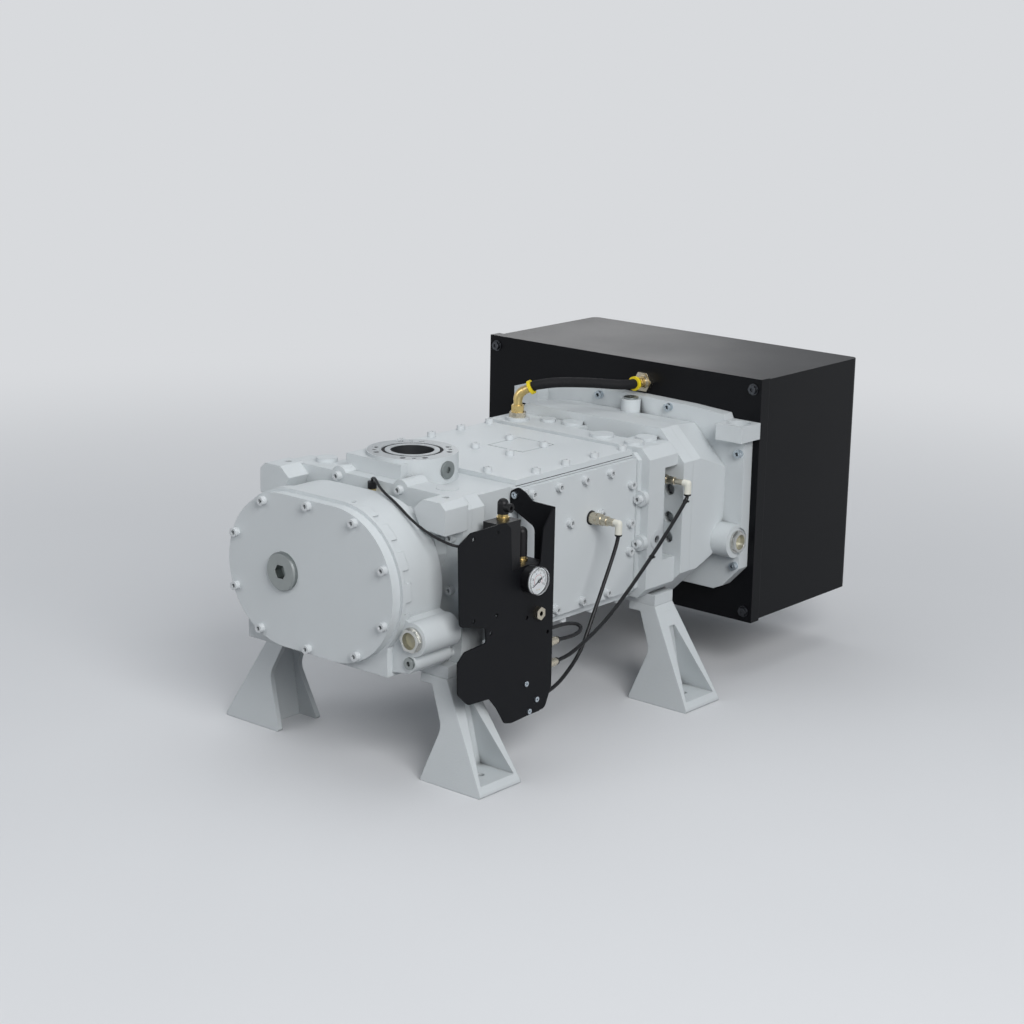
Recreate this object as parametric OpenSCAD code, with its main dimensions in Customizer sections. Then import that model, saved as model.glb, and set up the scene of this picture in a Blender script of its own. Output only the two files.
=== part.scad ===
// Dry screw vacuum pump with a gear case in front and a boxed motor behind.
// X runs across the pump, Y from the front cover to the motor, Z up from the floor.
// The origin is on the floor, in the middle of the four foot bolt holes.

/* [Rotors and shafts] */
// Height of the two rotor axes above the floor
axis_z = 283; // [275:1:292]
// Distance between the two rotor axes
shaft_spacing = 98; // [95:1:101]
// Tip radius of both screw rotors
rotor_tip_r = 64; // [61:1:66]
// Running gap round each rotor
rotor_gap = 1; // [0.8:0.1:1.4]
// Pitch of the screw thread at the inlet end
pitch_inlet = 130; // [110:1:150]
// Pitch of the screw thread at the outlet end
pitch_outlet = 62; // [55:1:80]
// Radius of the rotor shafts
shaft_r = 17; // [14:0.5:18]
// Teeth on each timing gear
gear_teeth = 28; // [24:1:32]
// Width of the timing gears
gear_w = 24; // [18:1:30]
// Outer radius of the shaft bearings
bearing_r = 36; // [33:1:40]
// Width of the shaft bearings
bearing_w = 19; // [15:1:22]

/* [Rotor casing] */
// Length of the rotor casing between its two end faces
casing_l = 417; // [400:1:440]
// Half width of the casing at its jacket seats
casing_hw = 143; // [138:1:150]
// Half height of the casing at its jacket seats
casing_hh = 107; // [102:1:112]
// How far the bolted flange at the suction end stands out beside the casing
flange_margin = 35; // [29:1:43]
// Half height of the bolted flange at the suction end
flange_hh = 121; // [117:1:126]
// Thickness of the casing's own suction flange
casing_flange_t = 26; // [18:1:34]
// Thickness of the jacket covers
jacket_t = 8; // [5:0.5:12]
// Thickness of the jacket gaskets
gasket_t = 1; // [0.5:0.1:2]
// Depth of the water jacket pockets
jacket_depth = 14; // [8:1:18]

/* [Inlet and outlet] */
// Radius of the inlet flange
inlet_r = 67; // [64:1:70]
// Radius of the inlet bore
inlet_bore_r = 32; // [28:1:36]
// Distance of the inlet axis behind the casing's suction face
inlet_setback = 71.3; // [68:0.1:76]
// Height of the inlet face above the rotor axes
inlet_h = 148.4; // [142:0.1:156]
// Radius of the bolt circles in the inlet face
inlet_bolt_r = 55; // [52:1:58]
// Radius of the outlet bore on the left side
outlet_bore_r = 16; // [12:0.5:18]
// Radius of the bolt circle round the outlet
outlet_bolt_r = 27; // [25:0.5:29]

/* [Gear case] */
// Radius of the front cover's rounded ends
cover_r = 111; // [108:1:114]
// Thickness of the front cover
cover_t = 15; // [10:1:18]
// Length of the front gear case
gear_case_l = 84.5; // [78:0.5:96]
// Thickness of the gear case wall
gear_case_t = 13; // [10:1:16]
// Thickness of the suction end plate
end_plate_t = 18; // [14:1:24]
// Length of the neck between the gear case and the end plate
neck_l = 22; // [18:1:28]
// Inset of the cover screws from the cover's edge
cover_screw_inset = 8; // [7:0.5:12]

/* [Discharge end] */
// Length of the discharge end plate's body
discharge_l = 72; // [68:1:80]
// How far the discharge end plate's body stands out beside the casing
discharge_margin = 27; // [22:1:33]
// Thickness of the discharge end plate's rear flange
rear_flange_t = 24; // [18:1:28]
// Length of the motor adaptor between its two flanges
adaptor_l = 87; // [80:1:100]
// How far the motor adaptor stands out beside the discharge end plate
adaptor_margin = 12; // [8:1:18]
// How far the motor flange stands out beside the motor adaptor
motor_flange_margin = 35; // [28:1:42]
// Thickness of the motor flange
motor_flange_t = 22; // [16:1:26]

/* [Motor and its box] */
// Width of the motor box
box_w = 556; // [540:1:580]
// Height of the motor box
box_h = 395; // [380:1:410]
// Depth of the motor box
box_d = 285; // [275:1:300]
// Height of the box's lower edge above the floor
box_z = 94; // [86:1:100]
// Thickness of the box sheet
box_sheet_t = 2; // [1.5:0.1:3]
// Depth of the front panel's folded edge
box_edge_d = 22; // [16:1:30]
// Outer radius of the motor's frame
motor_r = 118; // [110:1:124]
// Length of the motor's frame
motor_l = 210; // [190:1:225]

/* [Feet] */
// Height of the feet
foot_h = 150; // [144:1:154]
// Depth of a foot on the floor
foot_d = 88; // [82:1:94]
// Depth of a foot at its top
foot_top_d = 46; // [40:1:52]
// Distance of the foot bolt holes outside the feet's upper ends
foot_hole_reach = 44; // [40:1:48]
// Radius of the foot bolt holes
foot_hole_r = 6; // [5:0.5:8]
// Thickness of the foot's base
foot_base_t = 15; // [10:1:20]
// Distance of the front feet's holes ahead of the casing's suction face
foot_front_reach = 18.5; // [16:0.5:22]
// Distance of the rear feet's holes behind the casing's discharge face
foot_rear_reach = 45.5; // [42:0.5:50]

/* [Gas panel] */
// Distance of the gas panel outside the casing's jacket seat
panel_reach = 82; // [75:1:89]
// Thickness of the gas panel's sheet
panel_t = 2.5; // [1.5:0.5:4]
// Radius of the pressure gauge
gauge_r = 20.5; // [18:0.5:24]
// Depth of the gauge case in front of the panel
gauge_d = 22; // [18:1:28]

/* [Tubes] */
// Radius of the purge gas tubes
tube_r = 3; // [2:0.5:4]
// Radius of the cooling water hose
hose_r = 8; // [7:0.5:9]
// Radius of the sensor cable
cable_r = 2; // [1.5:0.5:3]

/* [Hidden] */
$fn = 64;
eps = 0.01;
fit = 0.1;

foot_pitch = casing_l + foot_front_reach + foot_rear_reach;
casing_y0 = -foot_pitch / 2 + foot_front_reach;
casing_y1 = casing_y0 + casing_l;
end_plate_y = casing_y0 - end_plate_t;
neck_y = end_plate_y - neck_l;
gear_case_y = neck_y - gear_case_l;
cover_y = gear_case_y - cover_t;
discharge_y1 = casing_y1 + discharge_l;
adaptor_y0 = discharge_y1 + rear_flange_t;
flange_y = adaptor_y0 + adaptor_l;
box_y = flange_y + motor_flange_t;
foot_ys = [-foot_pitch / 2, foot_pitch / 2];
flange_hw = casing_hw + flange_margin;
discharge_hw = casing_hw + discharge_margin;
adaptor_hw = discharge_hw + adaptor_margin;
motor_flange_hw = adaptor_hw + motor_flange_margin;
foot_out_x = flange_hw - 6;
foot_hole_x = foot_out_x + foot_hole_reach;
panel_x = casing_hw + panel_reach;
shaft_x = shaft_spacing / 2;
shaft_xs = [-shaft_x, shaft_x];
bore_r = rotor_tip_r + rotor_gap;
inlet_y = casing_y0 + inlet_setback;
inlet_z = axis_z + inlet_h;

screw_d = 8;
head_r = 6.5;
head_h = 8;
grip = 10;

white = [0.80, 0.83, 0.85];
black = [0.08, 0.08, 0.09];
zinc = [0.72, 0.75, 0.78];
nickel = [0.72, 0.69, 0.64];
brass = [0.80, 0.62, 0.30];
steel = [0.60, 0.61, 0.63];

// Extrudes an outline drawn in X and Z from y0 to y1
module along_y(y0, y1) {
    translate([0, y1, axis_z]) rotate([90, 0, 0]) linear_extrude(height = y1 - y0) children();
}

// Extrudes an outline drawn in Y and Z from x0 to x1
module along_x(x0, x1) {
    translate([x0, 0, 0]) rotate([90, 0, 90]) linear_extrude(height = x1 - x0) children();
}

// A round bar along Y, its axis at x and at height z over the rotor axes
module rod_y(x, z, r, y0, y1) {
    translate([x, y0, axis_z + z]) rotate([-90, 0, 0]) cylinder(r = r, h = y1 - y0);
}

// A block between two corners
module block(low, high) {
    translate(low) cube(high - low);
}

module mirror_pair() {
    children();
    mirror([1, 0, 0]) children();
}

// Two round ends joined by straight sides
module stadium(half_spacing, r) {
    for (x = [-half_spacing, half_spacing]) translate([x, 0]) circle(r);
    translate([-half_spacing, -r]) square([2 * half_spacing, 2 * r]);
}

module rounded_square(size, r) {
    for (x = [r, size.x - r], y = [r, size.y - r]) translate([x, y]) circle(r);
    translate([r, 0]) square([size.x - 2 * r, size.y]);
    translate([0, r]) square([size.x, size.y - 2 * r]);
}

// A rectangle about the rotor axes with its corners cut off at 45 degrees
module chamfered(hw, hh, c) {
    polygon([[-hw, -hh + c], [-hw + c, -hh], [hw - c, -hh], [hw, -hh + c],
        [hw, hh - c], [hw - c, hh], [-hw + c, hh], [-hw, hh - c]]);
}

// Points of a closed outline with every corner rounded to its own radius
function corner_arc(a, p, b, r, n) =
    let (u = (a - p) / norm(a - p), v = (b - p) / norm(b - p),
        half = acos(max(-1, min(1, u * v))) / 2,
        m = (u + v) / norm(u + v), c = p + m * r / sin(half),
        s = p + u * r / tan(half), e = p + v * r / tan(half))
    [for (i = [0:n]) let (q = s + (e - s) * i / n, d = q - c) c + d * r / norm(d)];
function rounded_outline(corners, n = 4) =
    [for (i = [0:len(corners) - 1])
        let (a = corners[(i + len(corners) - 1) % len(corners)], b = corners[(i + 1) % len(corners)],
            c = corners[i])
        each corner_arc([a.x, a.y], [c.x, c.y], [b.x, b.y], c.z, n)];

// A socket head screw along +Z, its head's underside at the origin
module cap_screw(length = grip, d = screw_d, r = head_r, h = head_h) {
    difference() {
        union() {
            cylinder(r = r, h = h, $fn = 32);
            translate([0, 0, -length]) cylinder(d = d, h = length + eps, $fn = 32);
        }
        translate([0, 0, h * 0.45]) cylinder(r = d * 0.43, h = h, $fn = 6);
    }
}

// The hole that such a screw goes into
module screw_hole(length = grip + 2, d = screw_d) {
    translate([0, 0, -length]) cylinder(d = d + 2 * fit, h = length + 1, $fn = 32);
}

// A hexagon head or nut along +Z, across_flats wide, with a round bore
module hex_nut(across_flats, h, bore_r = 0) {
    difference() {
        cylinder(d = across_flats / cos(30), h = h, $fn = 6);
        if (bore_r > 0) translate([0, 0, -1]) cylinder(r = bore_r, h = h + 2);
    }
}

// Screw places, each a list of points in the plane of its cover
function spread(first, last, n) = [for (i = [0:n - 1]) first + (last - first) * i / (n - 1)];
jacket_y0 = casing_y0 + 134;
jacket_y1 = casing_y1 - 9;
jacket_mid = (jacket_y0 + jacket_y1) / 2;
side_y0 = jacket_y0 + 4;
side_hh = casing_hh - 3;
rows_y = spread(jacket_y0 + 57, jacket_y1 - 12, 4);
edge_screws = concat([for (x = [-1, 1], y = rows_y) [x * (casing_hw - 10), y]],
    [for (x = [-80, 80]) [x, jacket_y0 + 11]]);
inner_screws = [for (x = [-34, 34], y = [jacket_mid - 22, jacket_mid + 58]) [x, y]];
top_screws = concat(edge_screws, inner_screws);
side_rows_y = spread(side_y0 + 20, jacket_y1 - 67, 4);
side_inner = [[side_y0 + 109, 34], [side_y0 + 183, 34]];
side_screws = concat([for (z = [-1, 1], y = side_rows_y) [y, z * (side_hh - 11)]],
    [for (z = [-38, 6, 66]) [jacket_y1 - 15, z]], side_inner);

// Puts children on the top, right, left or bottom jacket face, +Z outwards
module on_top(x, y, lift = 0) {
    translate([x, y, axis_z + casing_hh + lift]) children();
}
module on_bottom(x, y, lift = 0) {
    translate([x, y, axis_z - casing_hh - lift]) rotate([180, 0, 0]) children();
}
module on_side(side, y, z, lift = 0) {
    translate([side * (casing_hw + lift), y, axis_z + z]) rotate([0, 90 * side, 0]) children();
}

// Everything that is bolted on the four jacket seats
module jacket_holes() {
    for (p = top_screws) on_top(p.x, p.y) screw_hole();
    for (p = edge_screws) on_bottom(p.x, p.y) screw_hole();
    for (side = [-1, 1], p = side_screws) on_side(side, p.x, p.y) screw_hole();
}

discharge_lug_x = discharge_hw - 10;
discharge_lugs = [for (x = [-1, 1], z = [42, -28]) [x * discharge_lug_x, z]];
inlet_groups = [45, 135, 225, 315];
inlet_hole_step = 16.6;
inlet_hole_r = 3.4;
inlet_side_hole_r = 4.6;
inlet_bore_l = 50;
suction_screws = concat([for (x = [-1, 1]) [x * 60, flange_hh - 6]],
    [for (x = [-1, 1], z = [64, -11, -101]) [x * (flange_hw - 20), z]]);
purge_y = casing_y0 + 299;
purge_z = 32;

module inlet_neck() {
    difference() {
        union() {
            translate([0, inlet_y, inlet_z - 60]) cylinder(r = inlet_r, h = 60);
            block([-inlet_r, casing_y0 + 4, inlet_z - 60], [40, inlet_y, inlet_z - 5]);
        }
        block([-100, jacket_y0 - 3, axis_z + casing_hh], [100, jacket_y0 + 60, inlet_z - 18]);
    }
}

module rotor_casing() {
    color(white) difference() {
        union() {
            block([-casing_hw, casing_y0, axis_z - casing_hh], [casing_hw, casing_y1, axis_z + casing_hh]);
            block([-casing_hw, casing_y0, axis_z], [casing_hw, jacket_y0 - 0.5, axis_z + casing_hh + 2]);
            along_y(casing_y0, casing_y0 + casing_flange_t) chamfered(flange_hw, flange_hh, 16);
            along_y(casing_y1 - 9, casing_y1) chamfered(casing_hw + 12, casing_hh + 4, 10);
            inlet_neck();
            for (p = suction_screws) rod_y(p.x, p.y, 14, casing_y0, casing_y0 + casing_flange_t);
            for (p = discharge_lugs) rod_y(p.x, p.y, 12, casing_y1 - 9, casing_y1);
            block([casing_hw - 1, panel_y + panel_t, axis_z + 82],
                [lug_screw.x + 12, side_y0 - 2, axis_z + casing_hh]);
            translate([-118, casing_y0 + 16, axis_z + 80]) cylinder(r = 16, h = flange_hh - 74);
            translate([118, casing_y0 + 16, axis_z + 80]) cylinder(r = 16, h = flange_hh - 79);
        }
        for (x = shaft_xs) rod_y(x, 0, bore_r, casing_y0 - 1, casing_y1 + 1);
        translate([0, inlet_y, inlet_z - inlet_bore_l]) cylinder(r = inlet_bore_r, h = inlet_bore_l + 1);
        translate([-inlet_bore_r - 26, inlet_y - inlet_bore_r - 2, axis_z + 30])
            linear_extrude(height = inlet_h - inlet_bore_l - 30 + eps)
                rounded_square([2 * inlet_bore_r + 52, 2 * inlet_bore_r + 4], 20);
        translate([0, inlet_y, inlet_z - 4]) difference() {
            cylinder(r = inlet_bore_r + 13, h = 5);
            translate([0, 0, -1]) cylinder(r = inlet_bore_r + 8, h = 7);
        }
        for (a = inlet_groups, s = [-1, 0, 1]) translate([0, inlet_y, inlet_z])
            rotate([0, 0, a + s * inlet_hole_step]) translate([inlet_bolt_r, 0, -20])
                cylinder(r = s == 0 ? inlet_hole_r : inlet_side_hole_r, h = 21);
        translate([inlet_r - 12, inlet_y, inlet_z - 19]) rotate([0, 90, 0]) cylinder(r = 8 + fit, h = 30);
        translate([inlet_r, inlet_y, inlet_z - 19]) rotate([0, 90, 0]) cylinder(r = 14, h = 30);
        jacket_spaces();
        jacket_holes();
        for (p = suction_screws) translate([p.x, casing_y0, axis_z + p.y]) rotate([90, 0, 0]) screw_hole();
        for (p = discharge_lugs) translate([p.x, casing_y1, axis_z + p.y]) rotate([-90, 0, 0]) screw_hole(14);
        translate([casing_hw, purge_y, axis_z + purge_z]) rotate([0, 90, 0]) {
            translate([0, 0, -12]) cylinder(r = 5 + fit, h = 14);
            translate([0, 0, -45]) cylinder(r = 2.5, h = 40);
        }
        translate([lug_screw.x, panel_y + panel_t, axis_z + lug_screw.y]) rotate([90, 0, 0]) screw_hole(10, 6);
    }
}

// Plans of the water spaces: two bays, with islands where screws go down between them
bay_rib = 14;
module bays(low, high, y_first) {
    translate([low, y_first]) square([high - low, jacket_mid - bay_rib / 2 - y_first]);
    translate([low, jacket_mid + bay_rib / 2]) square([high - low, jacket_y1 - 26 - jacket_mid - bay_rib / 2]);
}
module top_bays() {
    difference() {
        bays(-casing_hw + 26, casing_hw - 26, jacket_y0 + 22);
        for (p = inner_screws) translate(p) circle(10);
    }
}
module bottom_bays() {
    bays(-casing_hw + 26, casing_hw - 26, jacket_y0 + 22);
}
// Drawn with its first axis along the height and its second along the casing
module side_bays() {
    difference() {
        bays(-70, 70, jacket_y0 + 22);
        for (p = side_inner) translate([p.y, p.x]) circle(10);
        translate([purge_z, purge_y]) circle(12);
    }
}
module side_space(side, x0, x1) {
    translate([side > 0 ? x1 : -x0, 0, axis_z]) rotate([0, -90, 0])
        linear_extrude(height = x1 - x0) side_bays();
}
module jacket_spaces() {
    top_depth = casing_hh - rotor_tip_r - rotor_gap - 13;
    translate([0, 0, axis_z + casing_hh - top_depth]) linear_extrude(height = top_depth + 1) top_bays();
    translate([0, 0, axis_z - casing_hh - 1]) linear_extrude(height = top_depth + 1) bottom_bays();
    for (side = [-1, 1]) side_space(side, casing_hw - jacket_depth, casing_hw + 1);
}

module jacket_gaskets() {
    color([0.25, 0.27, 0.28]) {
        difference() {
            on_top(0, 0) block([-casing_hw, jacket_y0, 0], [casing_hw, jacket_y1 - 0.5, gasket_t]);
            on_top(0, 0) translate([0, 0, -1]) linear_extrude(height = gasket_t + 2) top_bays();
            for (p = top_screws) on_top(p.x, p.y, gasket_t) screw_hole();
        }
        difference() {
            on_top(0, 0, -2 * casing_hh - gasket_t)
                block([-casing_hw, jacket_y0, 0], [casing_hw, jacket_y1 - 0.5, gasket_t]);
            on_top(0, 0, -2 * casing_hh - gasket_t) translate([0, 0, -1])
                linear_extrude(height = gasket_t + 2) bottom_bays();
            for (p = edge_screws) on_bottom(p.x, p.y, gasket_t) screw_hole();
        }
        for (side = [-1, 1]) difference() {
            block([side > 0 ? casing_hw : -casing_hw - gasket_t, side_y0, axis_z - side_hh],
                [side > 0 ? casing_hw + gasket_t : -casing_hw, jacket_y1 - 0.5, axis_z + side_hh]);
            side_space(side, casing_hw - 1, casing_hw + gasket_t + 1);
            for (p = side_screws) on_side(side, p.x, p.y, gasket_t) screw_hole();
            if (side > 0) on_side(side, purge_y, purge_z) translate([0, 0, -1]) cylinder(r = 5 + fit, h = 4);
        }
    }
}

module jacket_top_cover() {
    color(white) difference() {
        on_top(0, 0, gasket_t) block([-casing_hw, jacket_y0, 0], [casing_hw, jacket_y1 - 0.5, jacket_t]);
        for (p = top_screws) on_top(p.x, p.y, gasket_t + jacket_t) screw_hole(jacket_t + 2);
        on_top(0, 0, gasket_t + jacket_t) difference() {
            translate([-36, jacket_mid + 6, -1.5]) cube([72, 76, 3]);
            translate([-33, jacket_mid + 9, -3]) cube([66, 70, 6]);
        }
    }
}

module jacket_side_cover(side) {
    color(white) difference() {
        block([side > 0 ? casing_hw + gasket_t : -casing_hw - gasket_t - jacket_t, side_y0, axis_z - side_hh],
            [side > 0 ? casing_hw + gasket_t + jacket_t : -casing_hw - gasket_t, jacket_y1 - 0.5, axis_z + side_hh]);
        for (p = side_screws) on_side(side, p.x, p.y, gasket_t + jacket_t) screw_hole(jacket_t + 2);
        if (side > 0) on_side(side, purge_y, purge_z, gasket_t + jacket_t)
            translate([0, 0, -jacket_t - 2]) cylinder(r = 5 + fit, h = jacket_t + 4);
    }
}
module jacket_right_cover() { jacket_side_cover(1); }
module jacket_left_cover() { jacket_side_cover(-1); }

module jacket_bottom_cover() {
    color(white) difference() {
        on_top(0, 0, -2 * casing_hh - gasket_t - jacket_t)
            block([-casing_hw, jacket_y0, 0], [casing_hw, jacket_y1 - 0.5, jacket_t]);
        for (p = edge_screws) on_bottom(p.x, p.y, gasket_t + jacket_t) screw_hole(jacket_t + 2);
    }
}

module jacket_screws() {
    cover = gasket_t + jacket_t;
    color(white) {
        for (p = top_screws) on_top(p.x, p.y, cover) cap_screw(cover + grip);
        for (p = edge_screws) on_bottom(p.x, p.y, cover) cap_screw(cover + grip);
        for (side = [-1, 1], p = side_screws) on_side(side, p.x, p.y, cover) cap_screw(cover + grip);
    }
}

module inlet_o_ring() {
    color(black) translate([0, inlet_y, inlet_z - 2]) rotate_extrude()
        translate([inlet_bore_r + 10.5, 0]) circle(1.95, $fn = 24);
}

// Suction end plate: bearing seats, flange, lifting lugs and front foot pads
lug_z0 = flange_hh - 41;
lug_x = [flange_hw - 57, flange_hw + 2];
pad_x = [flange_hw - 66, foot_out_x];
pad_top = -61;

module suction_end_plate() {
    color(white) difference() {
        union() {
            along_y(end_plate_y, casing_y0) chamfered(flange_hw, flange_hh, 16);
            along_y(neck_y, end_plate_y + 1) chamfered(110, 95, 30);
            for (p = suction_screws) rod_y(p.x, p.y, 14, end_plate_y, casing_y0);
            mirror_pair() {
                along_y(end_plate_y - 40, end_plate_y + 7) polygon([[lug_x[0] + 14, lug_z0], [lug_x[1], lug_z0 - 3],
                    [lug_x[1], flange_hh - 8], [lug_x[1] - 10, flange_hh + 1], [lug_x[0] + 18, flange_hh + 1],
                    [lug_x[0], flange_hh - 14]]);
                along_y(end_plate_y - 22, end_plate_y + 1) polygon([[lug_x[0] + 6, lug_z0 + 8], [lug_x[0] + 26, lug_z0 + 8],
                    [lug_x[0] + 26, 40], [lug_x[0] + 16, 10]]);
                foot_pad(pad_x, neck_y + 0.5, casing_y0);
            }
        }
        for (x = shaft_xs) {
            rod_y(x, 0, bearing_r + fit, neck_y - 1, neck_y + bearing_w);
            rod_y(x, 0, shaft_r + 1, neck_y, casing_y0 + 1);
            rod_y(x, 0, seal_r + fit, casing_y0 - 12, casing_y0 + 1);
        }
        for (x = [-1, 1]) translate([x * lifting_x, end_plate_y - 9.5, axis_z + flange_hh - 24]) cylinder(r = 5.1, h = 30);
        for (p = suction_screws) translate([p.x, end_plate_y, axis_z + p.y]) rotate([90, 0, 0]) screw_hole(end_plate_t + 2);
        foot_pad_holes(foot_ys[0]);
        translate([sensor.x, neck_y + 12, axis_z + sensor.z - 13]) cylinder(r = 4 + fit, h = 14);
    }
}
lifting_x = 153.5;
seal_r = 27;

// The block on which a foot is bolted, its lower face at the foot's top
module foot_pad(xs, y0, y1) {
    block([xs[0], y0, foot_h], [xs[1], y1, foot_h + 18]);
    block([xs[0], y0, foot_h], [xs[1] - 28, y1, axis_z + pad_top]);
}
foot_screw_x = [foot_out_x - 40, foot_out_x - 20];
module foot_pad_holes(y) {
    for (s = [-1, 1], x = foot_screw_x) translate([s * x, y, foot_h]) rotate([180, 0, 0]) screw_hole();
}

module end_plate_screws() {
    color(white) {
        for (p = suction_screws) translate([p.x, end_plate_y, axis_z + p.y])
            rotate([90, 0, 0]) cap_screw(end_plate_t + grip);
        for (p = discharge_lugs) translate([p.x, casing_y1 - 9, axis_z + p.y])
            rotate([90, 0, 0]) cap_screw(9 + grip);
    }
}

// Front gear case
gear_case_r = cover_r + 2;
sight_front = [174, -58];
drain_front = [170, -92];
cover_angles = [67.5, 22.5, -22.5, -64];
cover_screws = concat([for (s = [-1, 1], a = cover_angles)
        let (r = cover_r - cover_screw_inset) [s * (shaft_x + r * cos(a)), r * sin(a)]],
    [for (s = [-1, 1]) [0, s * (cover_r - cover_screw_inset)]]);
rim_t = 18;

case_back_y = neck_y - 2;
module front_gear_case() {
    color(white) difference() {
        union() {
            along_y(gear_case_y, gear_case_y + rim_t) stadium(shaft_x, gear_case_r + 3);
            along_y(gear_case_y + rim_t - eps, case_back_y) stadium(shaft_x, gear_case_r);
            along_y(case_back_y - eps, neck_y) chamfered(110, 95, 30);
            along_y(gear_case_y, case_back_y) translate([-137, -gear_case_r - 5]) square([274, gear_case_r]);
            rod_y(sight_front.x, sight_front.y, 24, gear_case_y + 10, case_back_y);
            rod_y(drain_front.x - 4, drain_front.y, 14, gear_case_y + 10, case_back_y);
            along_y(gear_case_y + 10, case_back_y) polygon([[100, -gear_case_r - 5], [drain_front.x, -gear_case_r + 6],
                [sight_front.x + 10, -40], [120, -20]]);
        }
        along_y(gear_case_y - 1, neck_y - 22) stadium(shaft_x, gear_case_r - gear_case_t);
        for (x = shaft_xs) rod_y(x, 0, bearing_r - 4, neck_y - 23, neck_y + 1);
        for (p = cover_screws) translate([p.x, gear_case_y, axis_z + p.y]) rotate([90, 0, 0]) screw_hole();
        for (a = [-8, 14, 36, 58, 80]) translate([shaft_x, 0, axis_z]) rotate([0, -a, 0])
            block([gear_case_r, gear_case_y + 6, -9], [gear_case_r + 12, gear_case_y + rim_t + 1, 9]);
        rod_y(sight_front.x, sight_front.y, 15 + fit, gear_case_y + 9, gear_case_y + 26);
        rod_y(drain_front.x, drain_front.y, 6 + fit, gear_case_y + 9, gear_case_y + 22);
    }
}

module front_cover() {
    color(white) difference() {
        along_y(cover_y, gear_case_y) stadium(shaft_x, cover_r);
        for (p = cover_screws) translate([p.x, cover_y, axis_z + p.y]) rotate([90, 0, 0]) screw_hole(cover_t + 2);
        rod_y(-shaft_x, 0, plug_r + fit, cover_y - 1, gear_case_y + 1);
    }
}
plug_r = 21;
plug_collar_r = 28;

module front_cover_screws() {
    color(white) for (p = cover_screws) translate([p.x, cover_y, axis_z + p.y])
        rotate([90, 0, 0]) cap_screw(cover_t + grip);
}

module front_shaft_plug() {
    color(zinc) translate([-shaft_x, cover_y, axis_z]) rotate([90, 0, 0]) difference() {
        union() {
            translate([0, 0, -cover_t]) cylinder(r = plug_r, h = cover_t + 1);
            cylinder(r = plug_collar_r, h = 5);
            translate([0, 0, 5 - eps]) cylinder(r1 = plug_collar_r, r2 = plug_collar_r - 2, h = 2);
        }
        translate([0, 0, -6]) cylinder(r = 11, h = 20, $fn = 6);
    }
}

sight_rear_z = -51;
rear_boss_x = motor_flange_hw - 4;
rear_boss_y = flange_y - 6;
// Places a sight glass: the front one faces -Y, the rear one +X
module at_sight_glasses() {
    translate([sight_front.x, gear_case_y + 10, axis_z + sight_front.y]) rotate([90, 0, 0]) children();
    translate([rear_boss_x, rear_boss_y, axis_z + sight_rear_z]) rotate([0, 90, 0]) children();
}

module sight_glass_rings() {
    color([0.85, 0.87, 0.88]) at_sight_glasses() difference() {
        union() {
            translate([0, 0, -14]) cylinder(r = 15, h = 14 + eps);
            cylinder(r = 18, h = 3);
            hex_nut(30, 8);
        }
        translate([0, 0, -15]) cylinder(r = 10, h = 30);
        translate([0, 0, -4]) cylinder(r = 12, h = 20);
    }
}

module sight_glasses() {
    color([0.86, 0.80, 0.55]) at_sight_glasses() translate([0, 0, -4 + eps]) cylinder(r = 12 - fit, h = 4);
}

vent = [3, flange_y - 14];
// A round plug with a hexagon socket, its collar's underside at the origin
module socket_plug(r, depth, collar_r, collar_h) {
    difference() {
        union() {
            translate([0, 0, -depth]) cylinder(r = r, h = depth + eps);
            cylinder(r = collar_r, h = collar_h);
        }
        translate([0, 0, 0.5]) cylinder(r = r * 0.62, h = collar_h, $fn = 6);
    }
}
module socket_plugs() {
    color(zinc) {
        translate([drain_front.x, gear_case_y + 10, axis_z + drain_front.y]) rotate([90, 0, 0]) socket_plug(6, 10, 8.5, 4);
        translate([vent.x, vent.y, axis_z + 149]) socket_plug(8, 10, 12, 3);
        translate([inlet_r, inlet_y, inlet_z - 19]) rotate([0, 90, 0]) socket_plug(8, 12, 13, 3);
    }
}

// Discharge end plate: body, rear flange, side pockets, bosses and rear foot pads
discharge_hh = 118;
corner = 16;
octagon_hh = 135;
pocket_y = [casing_y1 + 40, discharge_y1];
module octagon(hw, hh) {
    cut = hw + hh - 270;
    chamfered(hw, hh, cut);
}

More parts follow.
